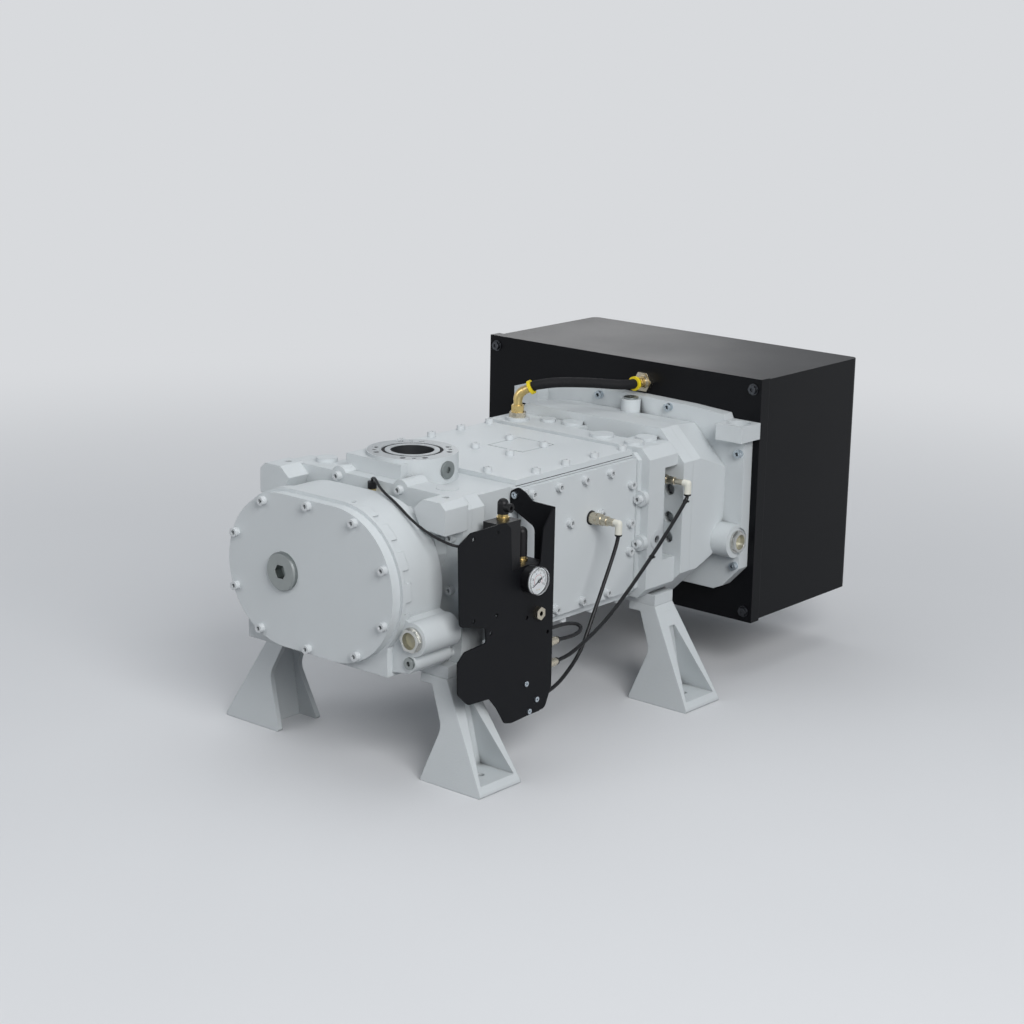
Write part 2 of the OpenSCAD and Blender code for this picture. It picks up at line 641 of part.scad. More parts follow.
module discharge_end_plate() {
    color(white) difference() {
        union() {
            along_y(casing_y1, discharge_y1) chamfered(discharge_hw, discharge_hh, corner);
            along_y(discharge_y1 - eps, adaptor_y0) octagon(adaptor_hw, octagon_hh);
            mirror_pair() foot_pad(pad_x, foot_ys[1] - foot_top_d / 2, foot_ys[1] + foot_top_d / 2);
            translate([discharge_hw - 30, casing_y1 + 24, axis_z - 26]) rotate([0, 90, 0]) cylinder(r = 15, h = 31);
            mirror([1, 0, 0]) translate([discharge_hw - 5, outlet_y, axis_z + outlet_z]) rotate([0, 90, 0])
                cylinder(r = outlet_boss_r, h = 25);
            for (p = top_bosses) translate([p.x, casing_y1 + p.y, axis_z + 90]) cylinder(r = p.z, h = discharge_hh - 85);
        }
        for (x = shaft_xs) {
            rod_y(x, 0, seal_r + fit, casing_y1 - 1, casing_y1 + 12);
            rod_y(x, 0, shaft_r + 1, casing_y1, discharge_y1);
            rod_y(x, 0, bearing_r + fit, discharge_y1 - bearing_w, adaptor_y0 + 1);
        }
        side_pocket();
        top_pocket();
        mirror([1, 0, 0]) outlet_cuts();
        translate([discharge_hw - 10, casing_y1 + 24, axis_z - 26]) rotate([0, 90, 0]) cylinder(r = 6, h = 14);
        for (p = discharge_lugs) translate([p.x, casing_y1, axis_z + p.y]) rotate([90, 0, 0]) screw_hole(12);
        foot_pad_holes(foot_ys[1]);
        translate([hose_base.x, hose_base.y, axis_z + discharge_hh - 20]) cylinder(r = 8 + fit, h = 40);
        translate([discharge_hw - 36, purge2_y, axis_z + purge2_z]) rotate([0, 90, 0])
            translate([0, 0, -10]) cylinder(r = 5 + fit, h = 14);
    }
}
outlet_y = casing_y1 + 34;
outlet_z = -42;
outlet_boss_r = outlet_bolt_r + 6.5;
top_bosses = [[-29, 60, 17], [58, 24, 19], [126, 17, 15], [120, 56, 17], [-114, 26, 19], [-70, 50, 12]];
purge2_y = casing_y1 + 56;
purge2_z = 62;
hose_base = [-114, casing_y1 + 26];

// Deep recess in the side of the discharge end plate with holes in its rear wall
module side_pocket() {
    block([discharge_hw - 36, pocket_y[0], axis_z - 62], [discharge_hw + 20, pocket_y[1], axis_z + 84]);
    for (z = [42, -2, -34]) rod_y(discharge_hw - 14, z, 9, discharge_y1 - 1, discharge_y1 + 12);
}

// Hollow in the top of the discharge end plate, between its bosses and the adaptor
module top_pocket() {
    block([-8, casing_y1 + 44, axis_z + 82], [92, discharge_y1, axis_z + 130]);
}

// The outlet's bore, its link to the casing's end and its bolt holes, drawn on the right
module outlet_cuts() {
    translate([72, outlet_y, axis_z + outlet_z]) rotate([0, 90, 0]) cylinder(r = outlet_bore_r, h = 140);
    rod_y(72, outlet_z, 12, casing_y1 - 1, outlet_y);
    for (a = [45:90:315]) translate([discharge_hw, outlet_y, axis_z + outlet_z]) rotate([0, 90, 0])
        rotate([0, 0, a]) translate([outlet_bolt_r, 0, 4]) cylinder(r = 3.4, h = 20);
}

// Motor adaptor
flange_top = 151;
flange_bottom = 138;
motor_lug = [motor_flange_hw - 37, motor_flange_hw + 13];
lug_hole = [motor_flange_hw - 11, box_y - 25];
flange_bolts = [[motor_flange_hw - 9, 89], [motor_flange_hw - 9, -93], [-motor_flange_hw + 9, 89],
    [-motor_flange_hw + 9, -93], [-70, 143], [70, 143]];

module motor_flange_outline() {
    polygon([[-motor_flange_hw, -97], [-motor_flange_hw + 31, -flange_bottom + 8], [-motor_flange_hw + 48, -flange_bottom],
        [motor_flange_hw - 48, -flange_bottom], [motor_flange_hw - 31, -flange_bottom + 8], [motor_flange_hw, -97],
        [motor_flange_hw, 130], [motor_flange_hw - 36, 134], [motor_flange_hw - 42, 147], [motor_flange_hw - 110, flange_top],
        [0, flange_top + 2], [-motor_flange_hw + 110, flange_top], [-motor_flange_hw + 42, 147],
        [-motor_flange_hw + 36, 134], [-motor_flange_hw, 130]]);
}

module motor_adaptor() {
    rear_hh = octagon_hh - 10;
    color(white) difference() {
        union() {
            hull() {
                along_y(adaptor_y0, adaptor_y0 + 20) octagon(adaptor_hw, octagon_hh);
                along_y(flange_y - 4, flange_y + 1) chamfered(adaptor_hw, rear_hh, adaptor_hw + rear_hh - 245);
            }
            along_y(flange_y, box_y) motor_flange_outline();
            along_y(box_y - 50, box_y) mirror_pair()
                translate([motor_lug[0], 112]) square([motor_lug[1] - motor_lug[0], 26]);
            translate([adaptor_hw - 20, rear_boss_y, axis_z + sight_rear_z]) rotate([0, 90, 0])
                cylinder(r = 27, h = rear_boss_x - adaptor_hw + 20);
            translate([vent.x, vent.y, axis_z + 100]) cylinder(r = 16, h = 49);
        }
        along_y(adaptor_y0 - 1, box_y + 1) chamfered(adaptor_hw - 20, rear_hh - 15, 45);
        for (s = [-1, 1]) translate([s * lug_hole.x, lug_hole.y, axis_z + 105]) cylinder(r = 19, h = 40);
        for (p = flange_bolts) translate([p.x, flange_y, axis_z + p.y]) rotate([90, 0, 0]) screw_hole(motor_flange_t + 2);
        translate([rear_boss_x, rear_boss_y, axis_z + sight_rear_z]) rotate([0, 90, 0]) {
            translate([0, 0, -16]) cylinder(r = 15 + fit, h = 20);
            cylinder(r = 22, h = 30);
        }
        translate([vent.x, vent.y, axis_z + 138]) cylinder(r = 8 + fit, h = 20);
    }
}

module zinc_screws() {
    color(zinc) {
        for (p = flange_bolts) translate([p.x, flange_y, axis_z + p.y]) rotate([90, 0, 0]) cap_screw(motor_flange_t);
        translate([lug_screw.x, panel_y, axis_z + lug_screw.y]) rotate([90, 0, 0]) cap_screw(panel_t + 7, 6, 5, 4);
        for (p = panel_screws) at_panel(p) cap_screw(panel_t + 6, 4, 4, 2.5);
    }
}

// Feet
// Top corners, base corners and the waist on the inner side, in X and Z
foot_in_x = foot_out_x - 32;
foot_base_in = foot_out_x - 30;
foot_base_out = foot_hole_x + 38;
foot_waist = [foot_out_x - 1, 82];
foot_top_t = 12;
foot_web_x = foot_hole_x - 30;

// Both faces of a foot lean in towards its top; y is the row of its bolt hole
module foot_side(y, inset, z0, z1) {
    lean = (foot_d - foot_top_d) / 2;
    half = foot_d / 2 - inset;
    polygon([for (q = [[-1, z0], [1, z0], [1, z1], [-1, z1]])
        [y + q.x * (half - lean * q.y / foot_h), q.y]]);
}
module foot(y) {
    difference() {
        union() {
            intersection() {
                translate([0, y + foot_d, 0]) rotate([90, 0, 0]) linear_extrude(height = 2 * foot_d) polygon(concat(
                    [[foot_in_x, foot_h], [foot_out_x, foot_h], [foot_base_out - 1, 6], [foot_base_out, 2],
                        [foot_base_out - 2, 0], [foot_base_in + 2, 0], [foot_base_in, 3]],
                    corner_arc([foot_base_in, 3], foot_waist, [foot_in_x, foot_h], 26, 5)));
                along_x(foot_in_x - 60, foot_base_out + 20) foot_side(y, 0, 0, foot_h);
            }
            along_x(foot_screw_x[0] - 8, foot_out_x - 6) foot_side(y, 0, foot_h - foot_top_t, foot_h);
        }
        along_x(foot_web_x, foot_base_out + 30) polygon([for (q = [[-1, foot_base_t], [1, foot_base_t], [0.2, 118], [-0.2, 118]])
            [y + q.x * (foot_d / 2 - 9), q.y]]);
        along_x(foot_base_in - 60, foot_web_x - 8) foot_side(y, 8.5, -1, foot_h - foot_top_t);
        translate([foot_hole_x, y, -1]) cylinder(r = foot_hole_r, h = foot_base_t + 2);
        for (x = foot_screw_x) translate([x, y, foot_h - foot_top_t - 1])
            cylinder(d = screw_d + 2 * fit, h = foot_top_t + 2);
    }
}
module foot_front_right() { color(white) foot(foot_ys[0]); }
module foot_rear_right() { color(white) foot(foot_ys[1]); }
module foot_front_left() { color(white) mirror([1, 0, 0]) foot(foot_ys[0]); }
module foot_rear_left() { color(white) mirror([1, 0, 0]) foot(foot_ys[1]); }

module foot_screws() {
    color(white) for (y = foot_ys, s = [-1, 1], x = foot_screw_x)
        translate([s * x, y, foot_h - foot_top_t]) rotate([180, 0, 0]) cap_screw(foot_top_t + grip);
}

// Motor box, centred on the drive shaft
box_x0 = -shaft_x - box_w / 2;
box_corners = [for (x = [15, box_w - 15], z = [17, box_h - 17]) [x, z]];
bulkhead = [3, 172];

module box_front_panel() {
    color(black) difference() {
        translate([box_x0, box_y, box_z]) cube([box_w, box_edge_d, box_h]);
        translate([box_x0 + box_sheet_t, box_y + box_sheet_t, box_z + box_sheet_t])
            cube([box_w - 2 * box_sheet_t, box_edge_d, box_h - 2 * box_sheet_t]);
        rod_y(-shaft_x, 0, motor_r - 10, box_y - 1, box_y + box_sheet_t + 1);
        for (p = box_corners) translate([box_x0 + p.x, box_y, box_z + p.y]) rotate([90, 0, 0]) screw_hole(box_sheet_t + 2);
        rod_y(bulkhead.x, bulkhead.y, 9 + fit, box_y - 1, box_y + box_sheet_t + 1);
    }
}

module box_hood() {
    gap = box_sheet_t + 0.3;
    r = 12;
    color(black) difference() {
        translate([box_x0 + gap, box_y + box_sheet_t, box_z + gap]) union() {
            cube([box_w - 2 * gap, box_d - r - box_sheet_t, box_h - 2 * gap]);
            translate([r, 0, 0]) cube([box_w - 2 * gap - 2 * r, box_d - box_sheet_t, box_h - 2 * gap]);
            for (x = [r, box_w - 2 * gap - r]) translate([x, box_d - r - box_sheet_t, 0]) cylinder(r = r, h = box_h - 2 * gap);
        }
        translate([box_x0 + gap + box_sheet_t, box_y - 1, box_z + gap + box_sheet_t])
            cube([box_w - 2 * gap - 2 * box_sheet_t, box_d - box_sheet_t - 1, box_h - 2 * gap - 2 * box_sheet_t]);
    }
}

module box_screws() {
    color(zinc) for (p = box_corners) translate([box_x0 + p.x, box_y, box_z + p.y]) rotate([90, 0, 0]) {
        difference() {
            union() {
                cylinder(r = 9, h = 1.5);
                hex_nut(13, 6);
                translate([0, 0, -10]) cylinder(d = screw_d, h = 11);
            }
            translate([0, 0, 4]) cylinder(r = 3, h = 4);
        }
    }
}

// Motor: frame with laminated stack, and the rotor on the drive shaft
motor_y0 = box_y + box_sheet_t;
module motor_stator() {
    color(steel) difference() {
        union() {
            rod_y(-shaft_x, 0, motor_r, motor_y0, motor_y0 + motor_l);
            rod_y(-shaft_x, 0, motor_r + 14, motor_y0, motor_y0 + 10);
        }
        rod_y(-shaft_x, 0, motor_r - 9, motor_y0 - 1, motor_y0 + 24);
        rod_y(-shaft_x, 0, motor_r - 9, motor_y0 + motor_l - 34, motor_y0 + motor_l - 10);
        rod_y(-shaft_x, 0, motor_bore_r, motor_y0 - 1, motor_y0 + motor_l - 10);
    }
}
motor_bore_r = 62;

module motor_rotor() {
    color(steel) difference() {
        rod_y(-shaft_x, 0, motor_bore_r - 1, motor_y0 + 26, motor_y0 + motor_l - 36);
        rod_y(-shaft_x, 0, shaft_r + fit / 2, motor_y0, motor_y0 + motor_l);
    }
}

// Smooth route through hand-placed points, with n steps between two of them
function between(a, b, c, d, t) = 0.5 * (2 * b + (c - a) * t + (2 * a - 5 * b + 4 * c - d) * t * t
    + (3 * b - a - 3 * c + d) * t * t * t);
function smooth(p, n) = let (m = len(p) - 1) concat(
    [for (i = [0:m - 1], k = [0:n - 1])
        between(p[max(i - 1, 0)], p[i], p[i + 1], p[min(i + 2, m)], k / n)], [p[m]]);
function unit(v) = v / norm(v);
// The same between two straight ends
function lead(first, p, last, n) = concat([first], smooth(p, n), [last]);

// A round tube of 8 sides swept along a route; side is a direction the route never takes
module tube(route, r, side) {
    n = 8;
    m = len(route);
    points = [for (i = [0:m - 1])
        let (d = unit(route[min(i + 1, m - 1)] - route[max(i - 1, 0)]),
            u = unit(cross(d, side)), v = cross(u, d))
        for (k = [0:n - 1]) route[i] + r * (cos(360 * k / n) * u + sin(360 * k / n) * v)];
    faces = concat([[for (k = [0:n - 1]) k]], [[for (k = [n - 1:-1:0]) (m - 1) * n + k]],
        [for (i = [0:m - 2], k = [0:n - 1]) let (a = i * n + k, b = i * n + (k + 1) % n)
            each [[a, a + n, b], [b, a + n, b + n]]]);
    polyhedron(points = points, faces = faces);
}

// Cooling water hose between the discharge end and the motor box
hose_z = axis_z + 172;
elbow_turn = 24;
elbow_rise = 28;
out_dir = [cos(elbow_rise) * cos(elbow_turn), cos(elbow_rise) * sin(elbow_turn), sin(elbow_rise)];
elbow_c = [hose_base.x + 18 * cos(elbow_turn), hose_base.y + 18 * sin(elbow_turn), axis_z + discharge_hh + 32];
bend_end = elbow_c + 18 * [-sin(elbow_rise) * cos(elbow_turn), -sin(elbow_rise) * sin(elbow_turn), cos(elbow_rise)];
hose_start = bend_end + 16 * out_dir;
hose_end = [bulkhead.x, box_y - 30, hose_z];
hose_route = lead(hose_start, [hose_start + 6 * out_dir, [-62, casing_y1 + 58, hose_z + 9],
    [-36, casing_y1 + 104, hose_z + 6], [-8, box_y - 58, hose_z + 1], hose_end - [0, 6, 0]], hose_end, 3);

module hose_nuts() {
    color(nickel) {
        difference() {
            translate([hose_base.x, hose_base.y, axis_z + discharge_hh + 5]) union() {
                translate([0, 0, -16]) cylinder(r = 8, h = 17);
                hex_nut(25, 8);
            }
            translate([hose_base.x, hose_base.y, axis_z]) cylinder(r = 5, h = 200);
        }
        translate([bulkhead.x, box_y, axis_z + bulkhead.y]) rotate([90, 0, 0]) difference() {
            union() {
                hex_nut(30, 8);
                translate([0, 0, -10]) cylinder(r = 9, h = 11);
                translate([0, 0, 8 - eps]) cylinder(r = 11, h = 4);
            }
            translate([0, 0, -11]) cylinder(r = 6, h = 30);
        }
    }
}

module hose_fittings() {
    color(brass) {
        translate([hose_base.x, hose_base.y, axis_z + discharge_hh + 13]) {
            hex_nut(19, 11);
            cylinder(r = 7, h = 20);
        }
        translate(elbow_c) rotate([0, 0, elbow_turn]) rotate([90, 0, 0]) intersection() {
            rotate_extrude() translate([18, 0]) circle(7.5);
            translate([0, 0, -10]) linear_extrude(height = 20) polygon([[0, 0], [-60 * sin(elbow_rise),
                60 * cos(elbow_rise)], [-60, 60], [-60, 0]]);
        }
        translate(bend_end) rotate([0, 90 - elbow_rise, elbow_turn]) {
            translate([0, 0, -1]) cylinder(r = 7, h = 9);
            cylinder(r = 6, h = 16);
        }
        translate([bulkhead.x, box_y - 12, axis_z + bulkhead.y]) rotate([90, 0, 0]) {
            cylinder(r = 8.5, h = 5);
            translate([0, 0, 3]) hex_nut(15, 7);
            cylinder(r = 6, h = 18);
        }
    }
}

module hose_collars() {
    color([0.93, 0.80, 0.08]) {
        translate(bend_end) rotate([0, 90 - elbow_rise, elbow_turn]) translate([0, 0, 11]) difference() {
            cylinder(r = hose_r + 3.5, h = 5);
            translate([0, 0, -1]) cylinder(r = 6 + fit, h = 7);
        }
        translate([hose_end.x, hose_end.y + 5, hose_end.z]) rotate([90, 0, 0]) difference() {
            cylinder(r = hose_r + 3.5, h = 5);
            translate([0, 0, -1]) cylinder(r = 6 + fit, h = 7);
        }
    }
}

module water_hose() {
    color(black) tube(hose_route, hose_r, [0, 0, 1]);
}

// Gas panel: a folded sheet that carries gauge, valve block and fittings
panel_y = casing_y0 + 121;
panel_outline = [[-201, 77, 6], [-176, 90, 8], [-104, 91, 8], [-93, 81, 6], [-89, 19, 4], [-28, 14, 6],
    [-23, 65, 14], [0, 94, 1], [0, -175, 12], [-11, -200, 10], [-85, -204, 6], [-99, -201, 6],
    [-116, -175, 8], [-133, -156, 8], [-178, -154, 12], [-199, -134, 10], [-200, -89, 8], [-186, -76, 6],
    [-141, -73, 4], [-143, -51, 5], [-197, -38, 8]];
panel_holes = [[-171, 80], [-121, 80], [-120, -38], [-55, -56], [-168, -36], [-8, -87], [-132, -61]];
panel_screws = [[-55, -153], [-31, -182], [-47, -196]];
lug_screw = [casing_hw + 11, 99];
flange_outline = [[panel_x, -172, 1], [panel_x, 94, 1], [panel_x - 41, 95, 8], [lug_screw.x + 18, 105, 6],
    [lug_screw.x + 4, 111, 9], [casing_hw + 1, 103, 7], [casing_hw + 1, 80, 8], [panel_x - 35, 58, 10],
    [panel_x - 33, -160, 8], [panel_x - 20, -172, 8]];
gauge = [-53, 1];
panel_nut = [-33, -53];
push_fittings = [-111, -143];
push_x = panel_x - 14;

module gas_panel() {
    color(black) difference() {
        union() {
            translate([panel_x - panel_t, panel_y, axis_z]) along_x(0, panel_t)
                polygon(rounded_outline(panel_outline));
            along_y(panel_y, panel_y + panel_t) polygon(rounded_outline(flange_outline));
        }
        for (p = panel_holes) at_panel(p) cylinder(r = 3, h = 10, center = true);
        for (p = panel_screws) at_panel(p) cylinder(r = 2.1, h = 20, center = true);
        at_panel(gauge) cylinder(r = 7 + fit, h = 10, center = true);
        at_panel(panel_nut) cylinder(r = 6 + fit, h = 10, center = true);
        for (z = push_fittings) rod_y(push_x, z, 5 + fit, panel_y - 1, panel_y + panel_t + 1);
        rod_y(link_x, link_z, tube_r + 1.5, panel_y - 1, panel_y + panel_t + 1);
        rod_y(lug_screw.x, lug_screw.y, 3 + fit, panel_y - 1, panel_y + panel_t + 1);
    }
}

// On the panel's outer face, +Z outwards, at a place given along Y and Z
module at_panel(p) {
    translate([panel_x, panel_y + p.x, axis_z + p.y]) rotate([0, 90, 0]) children();
}

block_x0 = panel_x - 33;
module gas_valve_block() {
    back = panel_x - panel_t;
    color(black) difference() {
        union() {
            block([block_x0, panel_y - 114, axis_z - 40], [back, panel_y - 19, axis_z + 20]);
            block([block_x0, panel_y - 114, axis_z + 19], [back, panel_y - 70, axis_z + 89]);
            block([block_x0 + 4, panel_y - 70, axis_z - 120], [back, panel_y - 20, axis_z - 39]);
            block([block_x0 + 12, panel_y - 62, axis_z - 203], [back, panel_y - 20, axis_z - 119]);
            for (z = [-28, -8, 8, 62]) rod_y(block_x0 + 16, z, 7, panel_y - 122, panel_y - 113);
        }
        for (p = panel_screws) at_panel(p) cylinder(r = 2.1, h = 24, center = true);
        at_panel(gauge) translate([0, 0, -14]) cylinder(r = 7 + fit, h = 20);
        at_panel(panel_nut) translate([0, 0, -12]) cylinder(r = 6 + fit, h = 20);
        translate([block_x0 + 10, panel_y - 84, axis_z + 78]) cylinder(r = 5 + fit, h = 20);
        translate([block_x0 + 8, panel_y - 40, axis_z + 9]) cylinder(r = 5 + fit, h = 20);
        rod_y(port_a.x, port_a.y, tube_r + 0.5, panel_y - 27, panel_y - 19);
        rod_y(link_x, link_z, tube_r + 0.5, panel_y - 27, panel_y - 19);
    }
}
link_x = panel_x - 22;
link_z = -94;
port_a = [panel_x - 11, -186];

module gauge_case() {
    color(black) at_panel(gauge) difference() {
        union() {
            translate([0, 0, -10]) cylinder(r = 7, h = 11);
            cylinder(r = gauge_r, h = gauge_d);
        }
        translate([0, 0, gauge_d - 6]) cylinder(r = gauge_r - 2, h = 7);
    }
}
module gauge_dial() {
    color([0.95, 0.95, 0.95]) at_panel(gauge) translate([0, 0, gauge_d - 6]) {
        cylinder(r = gauge_r - 2 - fit, h = 1);
        cylinder(r = 0.8, h = 3);
    }
}
module gauge_lens() {
    color([0.85, 0.92, 0.95]) at_panel(gauge) translate([0, 0, gauge_d - 1.5])
        cylinder(r = gauge_r - 2 - fit / 4, h = 1.5);
}
module gauge_pointer() {
    color([0.1, 0.1, 0.1]) at_panel(gauge) translate([0, 0, gauge_d - 4.4]) rotate([0, 0, -151]) difference() {
        union() {
            cylinder(r = 2.4, h = 1.4);
            linear_extrude(height = 0.9) polygon([[-0.7, 0], [0.7, 0], [0.2, gauge_r - 6], [-0.2, gauge_r - 6]]);
            linear_extrude(height = 0.9) polygon([[-0.6, 0], [-1.3, -7], [1.3, -7], [0.6, 0]]);
        }
        translate([0, 0, -1]) cylinder(r = 0.9, h = 4);
    }
}

module panel_bulkhead() {
    color(nickel) at_panel(panel_nut) difference() {
        union() {
            hex_nut(17, 8);
            translate([0, 0, -11]) cylinder(r = 6, h = 12);
        }
        translate([0, 0, -12]) cylinder(r = 3.5, h = 30);
    }
}

// Swivel elbow: a metal ring below and a black body whose port faces +X or -X
module swivel_elbow(port, tall) {
    difference() {
        union() {
            translate([0, 0, 7]) cylinder(r = 8, h = tall);
            translate([0, 0, 7 + tall]) sphere(8);
            translate([0, 0, 7 + tall - 4]) rotate([0, 90 * port, 0]) cylinder(r = 6.5, h = 15);
        }
        translate([0, 0, 7 + tall - 4]) rotate([0, 90 * port, 0]) translate([0, 0, 6]) cylinder(r = tube_r, h = 12);
    }
}
module panel_elbows() {
    color(black) {
        translate([block_x0 + 10, panel_y - 84, axis_z + 89]) swivel_elbow(1, 14);
        translate([block_x0 + 8, panel_y - 40, axis_z + 20]) swivel_elbow(-1, 34);
    }
}
module panel_elbow_rings() {
    color(brass) for (p = [[block_x0 + 10, -84, 89], [block_x0 + 8, -40, 20]])
        translate([p.x, panel_y + p.y, axis_z + p.z]) {
            translate([0, 0, -8]) cylinder(r = 5, h = 9);
            cylinder(r = 9, h = 3);
            translate([0, 0, 3 - eps]) cylinder(r = 7.5, h = 4 + eps);
        }
}

module panel_push_fittings() {
    color(nickel) for (z = push_fittings) translate([push_x, panel_y + panel_t, axis_z + z]) rotate([-90, 0, 0]) difference() {
        union() {
            translate([0, 0, -panel_t - 10]) cylinder(r = 5, h = panel_t + 11);
            hex_nut(14, 8);
            cylinder(r = 6.2, h = 22);
            translate([0, 0, 22 - eps]) cylinder(r = 5.2, h = 5);
        }
        translate([0, 0, 17]) cylinder(r = tube_r, h = 20);
    }
}

// Purge gas valves, one in the casing's side and one in the discharge end
valve_l = 44;
module purge_valves() {
    color(nickel) {
        translate([casing_hw + gasket_t + jacket_t, purge_y, axis_z + purge_z]) rotate([0, 90, 0])
            purge_valve(gasket_t + jacket_t + 10, valve_l, 8);
        translate([discharge_hw - 36, purge2_y, axis_z + purge2_z]) rotate([0, 90, 0])
            purge_valve(8, valve_l + 16, 6.5);
    }
}
module purge_valve(shank, length, r) {
    translate([0, 0, -shank]) cylinder(r = 5, h = shank + 1);
    cylinder(r = r + 1, h = length * 0.3);
    hex_nut(2 * r, length * 0.5);
    cylinder(r = r - 0.5, h = length * 0.72);
    cylinder(r = r - 2, h = length);
}
purge_a = [casing_hw + gasket_t + jacket_t + valve_l, purge_y, axis_z + purge_z];
purge_b = [discharge_hw - 36 + valve_l + 16, purge2_y, axis_z + purge2_z];
module purge_elbows() {
    color([0.90, 0.89, 0.84]) for (p = [purge_a, purge_b]) translate(p) difference() {
        union() {
            rotate([0, 90, 0]) cylinder(r = 5.5, h = 8);
            translate([8, 0, 0]) sphere(5.5);
            translate([8, 0, -16]) cylinder(r = 5.5, h = 16);
        }
        translate([8, 0, -17]) cylinder(r = tube_r, h = 8);
    }
}
tube_a = lead(purge_a + [8, 0, -9], [purge_a + [8, 0, -18], purge_a + [8, -9, -42], [203, 29, 197], [206, -9, 140],
    [209, -50, 111], [212, -84, 100], [port_a.x, panel_y - 14, axis_z + port_a.y]],
    [port_a.x, panel_y - 24, axis_z + port_a.y], 3);
tube_b = lead(purge_b + [8, 0, -9], [purge_b + [8, 0, -18], purge_b + [8, -12, -34], [208, 156, 250], [210, 56, 182],
    [211, -26, 147], [push_x, panel_y + panel_t + 29, axis_z + push_fittings[1]]],
    [push_x, panel_y + panel_t + 18, axis_z + push_fittings[1]], 3);
link = lead([push_x, panel_y + panel_t + 18, axis_z + push_fittings[0]],
    [[push_x, panel_y + panel_t + 29, axis_z + push_fittings[0]], [211, -40, 170], [209, -18, 171], [204, -7, 175],
    [199, -14, 181], [199, -40, 186], [link_x, panel_y + 18, axis_z + link_z], [link_x, panel_y - 14, axis_z + link_z]],
    [link_x, panel_y - 24, axis_z + link_z], 2);
module purge_tube_front() { color(black) tube(tube_a, tube_r - fit, [1, 0, 0]); }
module purge_tube_rear() { color(black) tube(tube_b, tube_r - fit, [1, 0, 0]); }
module panel_link_tube() { color(black) tube(link, tube_r - fit, [0, 0, 1]); }

// Temperature sensor on the neck, its cable running behind the gas panel
sensor = [15, -250, 95];
module temperature_sensor() {
    color(brass) translate([sensor.x, neck_y + 12, axis_z + sensor.z]) {
        translate([0, 0, -12]) cylinder(r = 4, h = 13);
        hex_nut(14, 7);
        cylinder(r = 5.5, h = 16);
    }
}
module sensor_cap() {
    color(black) translate([sensor.x, neck_y + 12, axis_z + sensor.z + 16]) cylinder(r = 6.5, h = 10);
}
cable = lead([sensor.x, neck_y + 12, axis_z + sensor.z + 26], [[sensor.x, neck_y + 12, 408], [26, -256, 411],
    [46, -268, 405], [66, -277, 400], [86, -282, 394], [104, -286, 387], [121, -289, 379], [142, -291, 370],
    [168, -291, 361], [196, -283, 352], [208, -264, 347], [209, -246, 345], [208, -230, 345]],
    [208, panel_y - 122, 345], 1);
module sensor_cable() { color(black) tube(cable, cable_r, [1, -1, 1]); }

// Screw rotors, twin shafts and timing gears
rotor_l = casing_l - 2;
slack = 0.8;
flank_slack = 1.3;
turn_step = 20;
tip_half = 90;
reach = acos(shaft_spacing / (2 * rotor_tip_r));
function edge_path(t) = let (x = shaft_spacing - rotor_tip_r * cos(t), y = rotor_tip_r * sin(t))
    [norm([x, y]), t - atan2(y, x)];
flank = [for (i = [1:3]) edge_path(reach * (4 - i) / 4)];
rotor_section = concat(
    [for (a = [-tip_half + flank_slack:(tip_half - flank_slack) / 5:tip_half - flank_slack + 0.01]) [rotor_tip_r - slack, a]],
    [for (q = flank) [q.x, tip_half - flank_slack + q.y]],
    [for (a = [tip_half - flank_slack:(360 - 2 * (tip_half - flank_slack)) / 6:270 + flank_slack + 0.01])
        [shaft_spacing - rotor_tip_r - slack, a]],
    [for (i = [len(flank) - 1:-1:0]) [flank[i].x, 270 + flank_slack - flank[i].y]]);
// The pitch falls evenly along the rotor, so the turn angle follows a logarithm
pitch_fall = (pitch_inlet - pitch_outlet) / rotor_l;
function screw_angle(y) = -360 / pitch_fall * ln(1 - pitch_fall * y / pitch_inlet);
function screw_y(a) = (1 - exp(-a * pitch_fall / 360)) * pitch_inlet / pitch_fall;
full_turn = screw_angle(rotor_l);
slices = ceil(full_turn / turn_step);

module screw() {
    n = len(rotor_section);
    points = [for (i = [0:slices]) let (turn = full_turn * i / slices, y = i == slices ? rotor_l : screw_y(turn))
        for (q = rotor_section) [q.x * cos(q.y + turn), y, q.x * sin(q.y + turn)]];
    faces = concat([[for (k = [n - 1:-1:0]) k]], [[for (k = [0:n - 1]) slices * n + k]],
        [for (i = [0:slices - 1], k = [0:n - 1]) let (a = i * n + k, b = i * n + (k + 1) % n)
            each [[a, b, a + n], [b, b + n, a + n]]]);
    polyhedron(points = points, faces = faces);
}

gear_y0 = gear_case_y + 18;
gear_y1 = gear_y0 + gear_w;
gear_seat_r = shaft_r - 3;
race_r = 27;
ball_r = 4.5;
module shaft(y1) {
    rod_y(0, 0, gear_seat_r, gear_y0 - 6, gear_y1 + eps);
    rod_y(0, 0, shaft_r, gear_y1, casing_y0 + 1 - eps);
    rod_y(0, 0, shaft_r, casing_y1 - 1 + eps, y1);
    for (y = [neck_y, discharge_y1 - bearing_w]) translate([0, y, axis_z]) rotate([-90, 0, 0]) difference() {
        translate([0, 0, eps]) cylinder(r = 24.5, h = bearing_w - 2 * eps);
        translate([0, 0, bearing_w / 2]) rotate_extrude() translate([race_r, 0]) circle(ball_r + 0.3, $fn = 32);
    }
}

module drive_rotor() { color(steel) translate([-shaft_x, casing_y0 + 1, axis_z]) screw(); }
module driven_rotor() { color(steel) translate([shaft_x, casing_y0 + 1, axis_z]) mirror([0, 0, 1]) screw(); }
